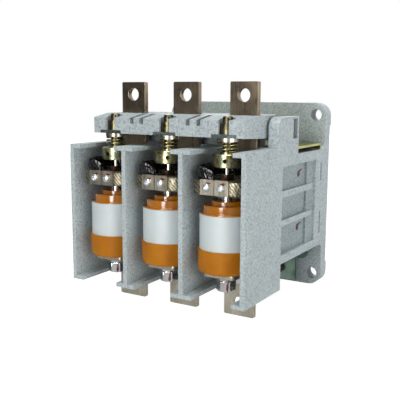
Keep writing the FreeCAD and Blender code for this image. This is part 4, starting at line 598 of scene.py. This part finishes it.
# %% Skins
def skin(name, rings, material, body, slot, loop=False):
    """A closed mesh through an array (rings, points round, 3) in mm: quads between rings, and
    a fan to the middle of the first and the last ring unless the rings loop."""
    count, round_ = rings.shape[:2]
    ring = np.arange(count if loop else count - 1)[:, None]
    step = np.arange(round_)[None, :]
    after, beside = (ring + 1) % count * round_, (step + 1) % round_
    ring = ring * round_
    quads = np.stack([ring + step, after + step, after + beside, ring + beside], -1).reshape(-1, 4)
    corners = quads[:, [0, 1, 2, 0, 2, 3]].reshape(-1, 3)
    points = rings.reshape(-1, 3) * MM
    if not loop:
        points = np.vstack([points, rings[[0, -1]].mean(1) * MM])
        side, last = np.arange(round_), (count - 1) * round_
        next_ = (side + 1) % round_
        first_cap = np.stack([np.full(round_, count * round_), side, next_], -1)
        last_cap = np.stack([np.full(round_, count * round_ + 1), last + next_, last + side], -1)
        corners = np.vstack([corners, first_cap, last_cap])
    a, b, c = (points[corners[:, k]] for k in range(3))
    if np.einsum("ij,ij->i", a, np.cross(b, c)).sum() < 0:
        corners = corners[:, ::-1]
    mesh = bpy.data.meshes.new(name)
    mesh.from_pydata(points.tolist(), [], corners.tolist())
    mesh.polygons.foreach_set("use_smooth", np.ones(len(corners), bool))
    mesh.materials.append(material)
    piece = bpy.data.objects.new(name, mesh)
    bpy.context.scene.collection.objects.link(piece)
    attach(piece, body)
    return piece


def along(path, across, upward, section_x, section_y):
    """Rings that carry a section along a path: at each path point, the section's x goes along
    across and its y along upward. Section arrays are (round) or (rings, round), in mm."""
    x, y = np.atleast_2d(section_x)[..., None], np.atleast_2d(section_y)[..., None]
    return path[:, None] + across[:, None] * x + upward[:, None] * y


def turn_round(count):
    """Angles all the way round, in radians, without the last one that repeats the first."""
    return np.linspace(0, 2 * math.pi, count, endpoint=False)


# %% [markdown]
# ## Interrupters and their nuts
# An interrupter is turned about its own axis, so each of its parts is a profile swept round that
# axis. The profile is a closed polygon of radius and height, and a short curve cuts each corner,
# because a dipped resin edge or a glazed one is never sharp and it carries the highlight. A
# cylinder with a Bevel modifier would round every corner alike, and here each has its own size.
# The nut is the same sweep with a radius that depends on the angle: flats for the hexagon, cut
# by a cone at both ends, as a real nut is chamfered.

# %% Turned parts
# In mm: the y of the poles, a nut's width across flats and the radius of its thread. In
# degrees: how far the nuts are turned
POLE_Y = -145
NUT_FLATS, STUD_RADIUS = 14.0, 4.0
NUT_TURN = 24


def rounded(corners):
    """Corner rows are radius, height, cut. A cut corner is the quadratic curve between the points
    at that distance along both of its edges, with one more point beyond each end."""
    beyond = 0.12
    corners = np.array(corners, float)
    points, t = corners[:, :2], np.linspace(0, 1, 6)[:, None]
    line = []
    for before, corner, after, cut in zip(np.roll(points, 1, 0), points, np.roll(points, -1, 0),
                                          corners[:, 2]):
        back, ahead = before - corner, after - corner
        back, ahead = back / np.linalg.norm(back), ahead / np.linalg.norm(ahead)
        start, end = corner + back * cut, corner + ahead * cut
        curve = start * (1 - t) ** 2 + 2 * corner * t * (1 - t) + end * t ** 2
        line += [[start + back * beyond], curve, [end + ahead * beyond]]
    return np.vstack(line)


def swept(middle, radius, heights, around):
    """Rings round the pole: x = r cos a and y = r sin a, at one height for each ring, where r is
    one number for the whole ring or one for each angle a."""
    x, y = middle + radius * np.cos(around), POLE_Y + radius * np.sin(around)
    return np.stack([x, y, np.repeat(heights[:, None], len(around), 1)], -1)


def turned(name, middle, corners, material, slot, node):
    """Each point (r, z) of the rounded profile becomes one ring."""
    line = rounded(corners)
    rings = swept(middle, line[:, :1], line[:, 1], turn_round(96))
    piece = skin(name, rings, material, "frame_body", slot, loop=True)
    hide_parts(node)


def hexagon_nut(side, middle):
    """Across the flats F, the radius at angle a from a flat's middle is F / 2 / cos a, and near an
    end no more than F / 2 - 0.2 plus 1.7 times the distance from that end."""
    around, sixth = turn_round(144), math.pi / 3
    off = (around - math.radians(NUT_TURN - 90) + sixth / 2) % sixth - sixth / 2
    hexagon = NUT_FLATS / 2 / np.cos(off)
    levels = np.array([-61.4, -61.3, -60.9, -60.4, -53.6, -53.2, -52.8, -52.7])
    near_end = np.minimum(levels - levels[0], levels[-1] - levels)
    cone = NUT_FLATS / 2 - 0.2 + near_end * 1.7
    outer = np.minimum(hexagon[None, :], cone[:, None])
    wall = np.full((1, len(around)), STUD_RADIUS)
    rings = swept(middle, np.vstack([wall, outer, wall]),
                  np.concatenate([levels[:1], levels, levels[-1:]]), around)
    piece = skin("stud_nut_" + side, rings, bright, "frame_body", "bright_steel", loop=True)
    piece.data.set_sharp_from_angle(angle=math.radians(25))
    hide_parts("interrupter_nuts")


# %% Interrupters
# Each row is radius, height and cut of a corner, in mm
TUBE = [(18, -42, 0.3), (21.5, -42, 0.3), (21.5, 1.7, 0.4), (18, 1.7, 0.3)]
CAP = [(14.5, 1.7, 0.2), (21.5, 1.7, 0.2), (21.5, 2.6, 0.4), (18.5, 2.7, 0.5), (18.5, 8.8, 0.8),
       (12.2, 8.9, 0.4), (12.2, 11.8, 0.8), (5, 11.8, 0.3), (5, 5.8, 0.2), (14.5, 5.8, 0.2)]
CUP = [(4.3, -45, 0.2), (20.4, -45, 1.2), (22.5, -43.2, 1.2), (22.9, -26, 0.45), (21.6, -26, 0.3),
       (21.6, -42, 0.2), (4.3, -42, 0.2)]
WASHER = [(4.2, -50.6, 0.15), (8.0, -50.6, 0.3), (8.0, -49.0, 0.3), (4.2, -49.0, 0.15)]
SPRING_WASHER = [(4.2, -52.7, 0.15), (7.2, -52.7, 0.3), (7.2, -50.6, 0.3), (4.2, -50.6, 0.15)]
for side, middle in POLES.items():
    turned("tube_" + side, middle, TUBE, ceramic, "ceramic", "interrupter_ceramic_" + side)
    turned("cap_" + side, middle, CAP, resin, "orange_cap", "interrupter_top_cap_" + side)
    turned("cup_" + side, middle, CUP, dip, "orange_cap", "interrupter_bottom_cup_" + side)
    turned("washer_" + side, middle, WASHER, bright, "bright_steel", "interrupter_nuts")
    turned("spring_washer_" + side, middle, SPRING_WASHER, bright, "bright_steel",
           "interrupter_nuts")
    hexagon_nut(side, middle)

# %% [markdown]
# ## Contact springs
# Under each seat plate a short compression spring presses the contact shut. It is cold-wound
# round wire with closed ends: the helix lies flat for a quarter turn at each end and climbs
# between. A Screw modifier makes one constant pitch only, so here the height of the wire is a
# formula.

# %% Springs
def spring(side, middle):
    """Round wire on a helix from low to high: level over the closed quarter turns at its ends,
    and a steady climb between. Lengths are in mm, and wire is its radius."""
    low, high, radius, wire = 49.35, 57.45, 7.3, 0.75
    turns, closed, first_angle = 2.9, 0.25, -0.9
    share = np.linspace(0, 1, 240)
    rise = np.clip((share * turns - closed) / (turns - 2 * closed), 0, 1)
    angle = share * turns * 2 * math.pi + first_angle
    out = np.stack([np.cos(angle), np.sin(angle), np.zeros_like(angle)], -1)
    path = np.array([middle, POLE_Y, 0.0]) + out * radius
    path[:, 2] = low + wire + rise * (high - low - 2 * wire)
    across = turn_round(12)
    upward = np.tile([0.0, 0.0, 1.0], (len(share), 1))
    rings = along(path, out, upward, wire * np.cos(across), wire * np.sin(across))
    piece = skin("spring_" + side, rings, spring_wire, "stem_" + side, "spring_steel")
    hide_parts("contact_spring_" + side)
    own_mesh(piece)


for side, middle in POLES.items():
    spring(side, middle)
print("springs", len(POLES))

# %% [markdown]
# ## Flexible shunts
# A shunt is flat woven copper braid, tinned, bent into a loop from the terminal bar round to
# the clamp block. Its thousands of strands could be modelled, or cloth bent round the loop by
# simulation, but at this size only the folds and a slanting glitter show. Where nothing presses
# it the braid bunches into slanting folds, and under a clamp it lies flat, so the folds are a
# wave whose height fades out at the clamps.

# %% Braid loops
def loop_path(half, front, rear, corner, count):
    """A rounded rectangle from its front middle towards +X, evenly spaced, and its normals.
    Its arcs turn about the four inner corners, and straight runs join them."""
    middle, deep = (front + rear) / 2, (rear - front) / 2
    arc = np.linspace(0, math.pi / 2, 40)
    parts = [np.array([[0.0, -deep]])]
    for start, x, y in ((-90, 1, -1), (0, 1, 1), (90, -1, 1), (180, -1, -1)):
        angle = math.radians(start) + arc
        parts.append(np.stack([x * (half - corner) + corner * np.cos(angle),
                               y * (deep - corner) + corner * np.sin(angle)], -1))
    line = np.vstack(parts + [parts[0]])
    length = np.concatenate([[0], np.cumsum(np.linalg.norm(np.diff(line, axis=0), axis=1))])
    even = np.linspace(0, length[-1], count, endpoint=False)
    x, y = (np.interp(even, length, line[:, k]) for k in range(2))
    ahead = np.stack([np.roll(x, -1) - np.roll(x, 1), np.roll(y, -1) - np.roll(y, 1)], -1)
    ahead /= np.linalg.norm(ahead, axis=1)[:, None]
    out = np.stack([ahead[:, 1], -ahead[:, 0], np.zeros(count)], -1)
    return np.stack([x, y + middle, np.zeros(count)], -1), out, even / length[-1]


# In mm: the height of the loop's middle, its length, and half the band's thickness and height
BRAID_HEIGHT, BRAID_LENGTH = 22.8, 138
HALF_THICK, HALF_HIGH = 1.5, 5.6


def shunt(side, middle, phase):
    """A flat band on the loop: its section is a rounded rectangle, swollen by slanting folds
    d = h(s) sin(a s + b z), with s along the loop and z up. The height h is 0 at the front and
    the rear clamp. Coarse folds lie 5.1 mm apart and fine ones 2.3 mm."""
    path, out, share = loop_path(half=21.9, front=-162.4, rear=-120.5, corner=10.0, count=420)
    path = path + [middle, 0, BRAID_HEIGHT]
    around = turn_round(56)
    square = [np.sign(f(around)) * np.abs(f(around)) ** 0.45 for f in (np.cos, np.sin)]
    free = np.clip(np.minimum(np.abs(np.sin(math.pi * share)) * 4 - 1.1, 1), 0, 1)
    free = free * np.clip(np.abs(share - 0.5) * 14 - 0.9, 0, 1)
    s, z = share[:, None] * BRAID_LENGTH, square[1][None, :] * HALF_HIGH
    fold = np.sin(2 * math.pi * (s / 5.1 + z / 13) + phase + 1.3 * np.sin(s / 6.3 + phase))
    fine = np.sin(2 * math.pi * (s / 2.3 - z / 7) + 2 * phase)
    swell = free[:, None] * (0.42 * fold + 0.14 * fine + 0.25)
    outside = square[0][None, :] * (HALF_THICK + swell)
    height = square[1][None, :] * (HALF_HIGH - free[:, None] * (0.35 + 0.25 * np.sin(s / 4.1)))
    upward = np.tile([0.0, 0.0, 1.0], (len(path), 1))
    rings = along(path, out, upward, outside, height)
    piece = skin("braid_" + side, rings, braid, "stem_" + side, "braid", loop=True)
    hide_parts("flexible_shunt_" + side)


for side, middle in POLES.items():
    shunt(side, middle, phase=middle * 0.07)
print("braids", len(POLES))

# %% [markdown]
# ## Sleeves
# A piece of black varnished sleeving lies on each braid and follows it round, and its two ends
# sink where they hang free at the front. A cloth simulation could crease it, but the creases of
# so short and stiff a tube are few, so a sum of sines on a path like the braid's draws them.

# %% Sleeves
# In mm: the height of the sleeve's middle, and how far its ends sink
SLEEVE_HEIGHT, SLEEVE_DROOP = 34.0, 3.6


def sleeve(side, middle, phase):
    """An upright oval carried from the right of the front round the back to the left, on part of
    a rounded rectangle. Creases are waves round and along it, and its front ends sink by the
    droop times a square."""
    path, out, share = loop_path(half=20.4, front=-159.6, rear=-122.6, corner=9.5, count=420)
    keep = (share > 0.2) & (share < 0.978)
    path, out = path[keep] + [middle, 0, SLEEVE_HEIGHT], out[keep]
    share = np.linspace(-1, 1, len(path))
    droop = np.clip((np.abs(share) - 0.72) / 0.28, 0, 1) ** 2
    path[:, 2] -= SLEEVE_DROOP * droop
    around = turn_round(48)
    crease = (0.16 * np.sin(5 * around[None, :] + 9 * share[:, None] + phase)
              + 0.12 * np.sin(9 * around[None, :] - 21 * share[:, None])
              + 0.1 * np.sin(52 * share[:, None] + 3 * around[None, :] + phase)
              + 0.09 * np.sin(118 * share[:, None] + 4 * around[None, :]))
    ends = np.sqrt(np.clip(1 - np.abs(share) ** 40, 0.02, 1))[:, None]
    wide = (2.7 + crease * 1.2) * ends * np.cos(around)[None, :]
    tall = (4.7 - 1.0 * droop[:, None] + crease * 1.6) * ends * np.sin(around)[None, :]
    upward = np.tile([0.0, 0.0, 1.0], (len(path), 1))
    piece = skin("sleeve_" + side, along(path, out, upward, wide, tall), black_sleeve,
                 "frame_body", "black_sleeve")
    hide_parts("shunt_sleeves")


for side, middle in POLES.items():
    sleeve(side, middle, phase=middle * 0.05)
print("sleeves", len(POLES))

# %% [markdown]
# ## Heads of the clamp screws
# The small screws that press the braid have pan heads, low domes with a cross recess. The dome
# is what catches the light, so it is a surface of its own on top of each cylindrical head. A
# Boolean could cut the cross, but one height function gives dome, cross and soft edges at once.

# %% Pan heads
# In mm: the head's radius, the y of its flat face and the height of the dome on it, then the
# cross, and how far beside the pole and how high the screws sit
HEAD_RADIUS, HEAD_FACE, DOME = 3.02, -167.45, 1.15
CROSS_DEPTH, CROSS_HALF_WIDTH, CROSS_REACH = 0.8, 0.5, 1.9
SCREW_OFFSET, SCREW_HEIGHT = 6.3, 23.6


def pan_head(name, x, turn, body):
    """Rings of radius r round the screw's axis, at height c (1 - (r / R)^2) over the head, less
    the depth of the cross inside |u| < w or |v| < w, which fades out before the rim. The first
    two rings go down into the cylindrical head. Turn is that of the cross, in radians."""
    around = turn_round(64)
    r = np.concatenate([[0.95, 1.0], np.linspace(0.97, 0.02, 22)])[:, None] * HEAD_RADIUS
    u, v = r * np.cos(around - turn), r * np.sin(around - turn)
    groove = np.clip((CROSS_HALF_WIDTH - np.minimum(np.abs(u), np.abs(v))) / 0.18, 0, 1)
    groove = groove * np.clip((CROSS_REACH - np.maximum(np.abs(u), np.abs(v))) / 0.5, 0, 1)
    height = DOME * (1 - (r / HEAD_RADIUS) ** 2) - CROSS_DEPTH * groove
    height[:2] = [[-0.9], [-0.6]]
    rings = np.stack([x + r * np.cos(around), HEAD_FACE - height,
                      SCREW_HEIGHT + r * np.sin(around)], -1)
    skin(name, rings, fasteners, body, "bright_steel")


for side, middle in POLES.items():
    pan_head("screw_a_" + side, middle - SCREW_OFFSET, 0.4, "stem_" + side)
    pan_head("screw_b_" + side, middle + SCREW_OFFSET, 1.1, "stem_" + side)
print("pan heads", 2 * len(POLES))

# %% [markdown]
# ## Locking paint
# After adjustment a fitter puts a dab of red paint across each screw and what it holds, so that
# a turned screw shows. It could be a red area in the materials below, but a real dab is thick
# and has a highlight of its own. So it is a low drop with a wavy rim that rides with its screw.

# %% Dabs of paint
PAINT_THICKNESS, PAINT_SINK = 0.28, 0.02


def dab(name, at, facing, turn, long, short, body, phase):
    """A drop on the plane through at, in mm: rings shrink from a wavy ellipse to its middle as
    cos t, and rise by the thickness times sin t. The plane is upright, and facing is how far its
    normal is turned from -Y towards +X. Turn tilts the long side up from level. Both are in
    degrees, long and short are its two widths, and phase shifts the waves of the rim."""
    facing = math.radians(facing)
    normal = np.array([math.sin(facing), -math.cos(facing), 0.0])
    first = np.array([0.0, 0.0, 1.0])
    second = np.cross(first, normal)
    turn = math.radians(turn)
    along_ = math.cos(turn) * second + math.sin(turn) * first
    beside = np.cross(normal, along_)
    around, rise = turn_round(28), np.linspace(-0.4, 1.45, 9)
    wave = 1 + 0.16 * np.sin(3 * around + phase) + 0.1 * np.sin(5 * around - phase)
    reach = np.cos(rise)[:, None] * wave[None, :]
    rings = (np.array(at) + normal * (PAINT_THICKNESS * np.sin(rise) - PAINT_SINK)[:, None, None]
             + along_ * (long / 2 * reach * np.cos(around))[..., None]
             + beside * (short / 2 * reach * np.sin(around))[..., None])
    skin(name, rings, paint, body, "bright_steel")


def on_nut(middle, beside, height):
    """The point on the front flat of a stud nut, so far beside the flat's middle, in mm."""
    turn, reach = math.radians(NUT_TURN), NUT_FLATS / 2
    return (middle + reach * math.sin(turn) + beside * math.cos(turn),
            POLE_Y - reach * math.cos(turn) + beside * math.sin(turn), height)


for number, (side, middle) in enumerate(POLES.items()):
    stem = "stem_" + side
    dab("paint_clamp_a_" + side, (middle - 5.6, -165.5, 26.5), 0, 14, 4.8, 1.9, stem, number)
    dab("paint_clamp_b_" + side, (middle + 7.4, -165.5, 26.7), 0, 12, 5.0, 2.0, stem, number + 2)
    dab("paint_nut_" + side, (middle + 0.4, -149.98, 30.3), 0, 80, 4.2, 2.2, stem, number + 4)
    dab("paint_stud_" + side, on_nut(middle, 1.8, -57.0), NUT_TURN, 86, 8.4, 1.9, "frame_body",
        number + 1)
for name, height in (("upper", 28.4), ("lower", -18.8)):
    dab("paint_bracket_" + name, (80.5, -60.6, height), 90, 14, 9.4, 2.4, "frame_body", 3)
dab("paint_cap_screw", (83.66, -84.6, 60.4), 90, 84, 4.4, 2.0, "frame_body", 2)

# %% [markdown]
# ## Finish

# %% Finish
print("finished")
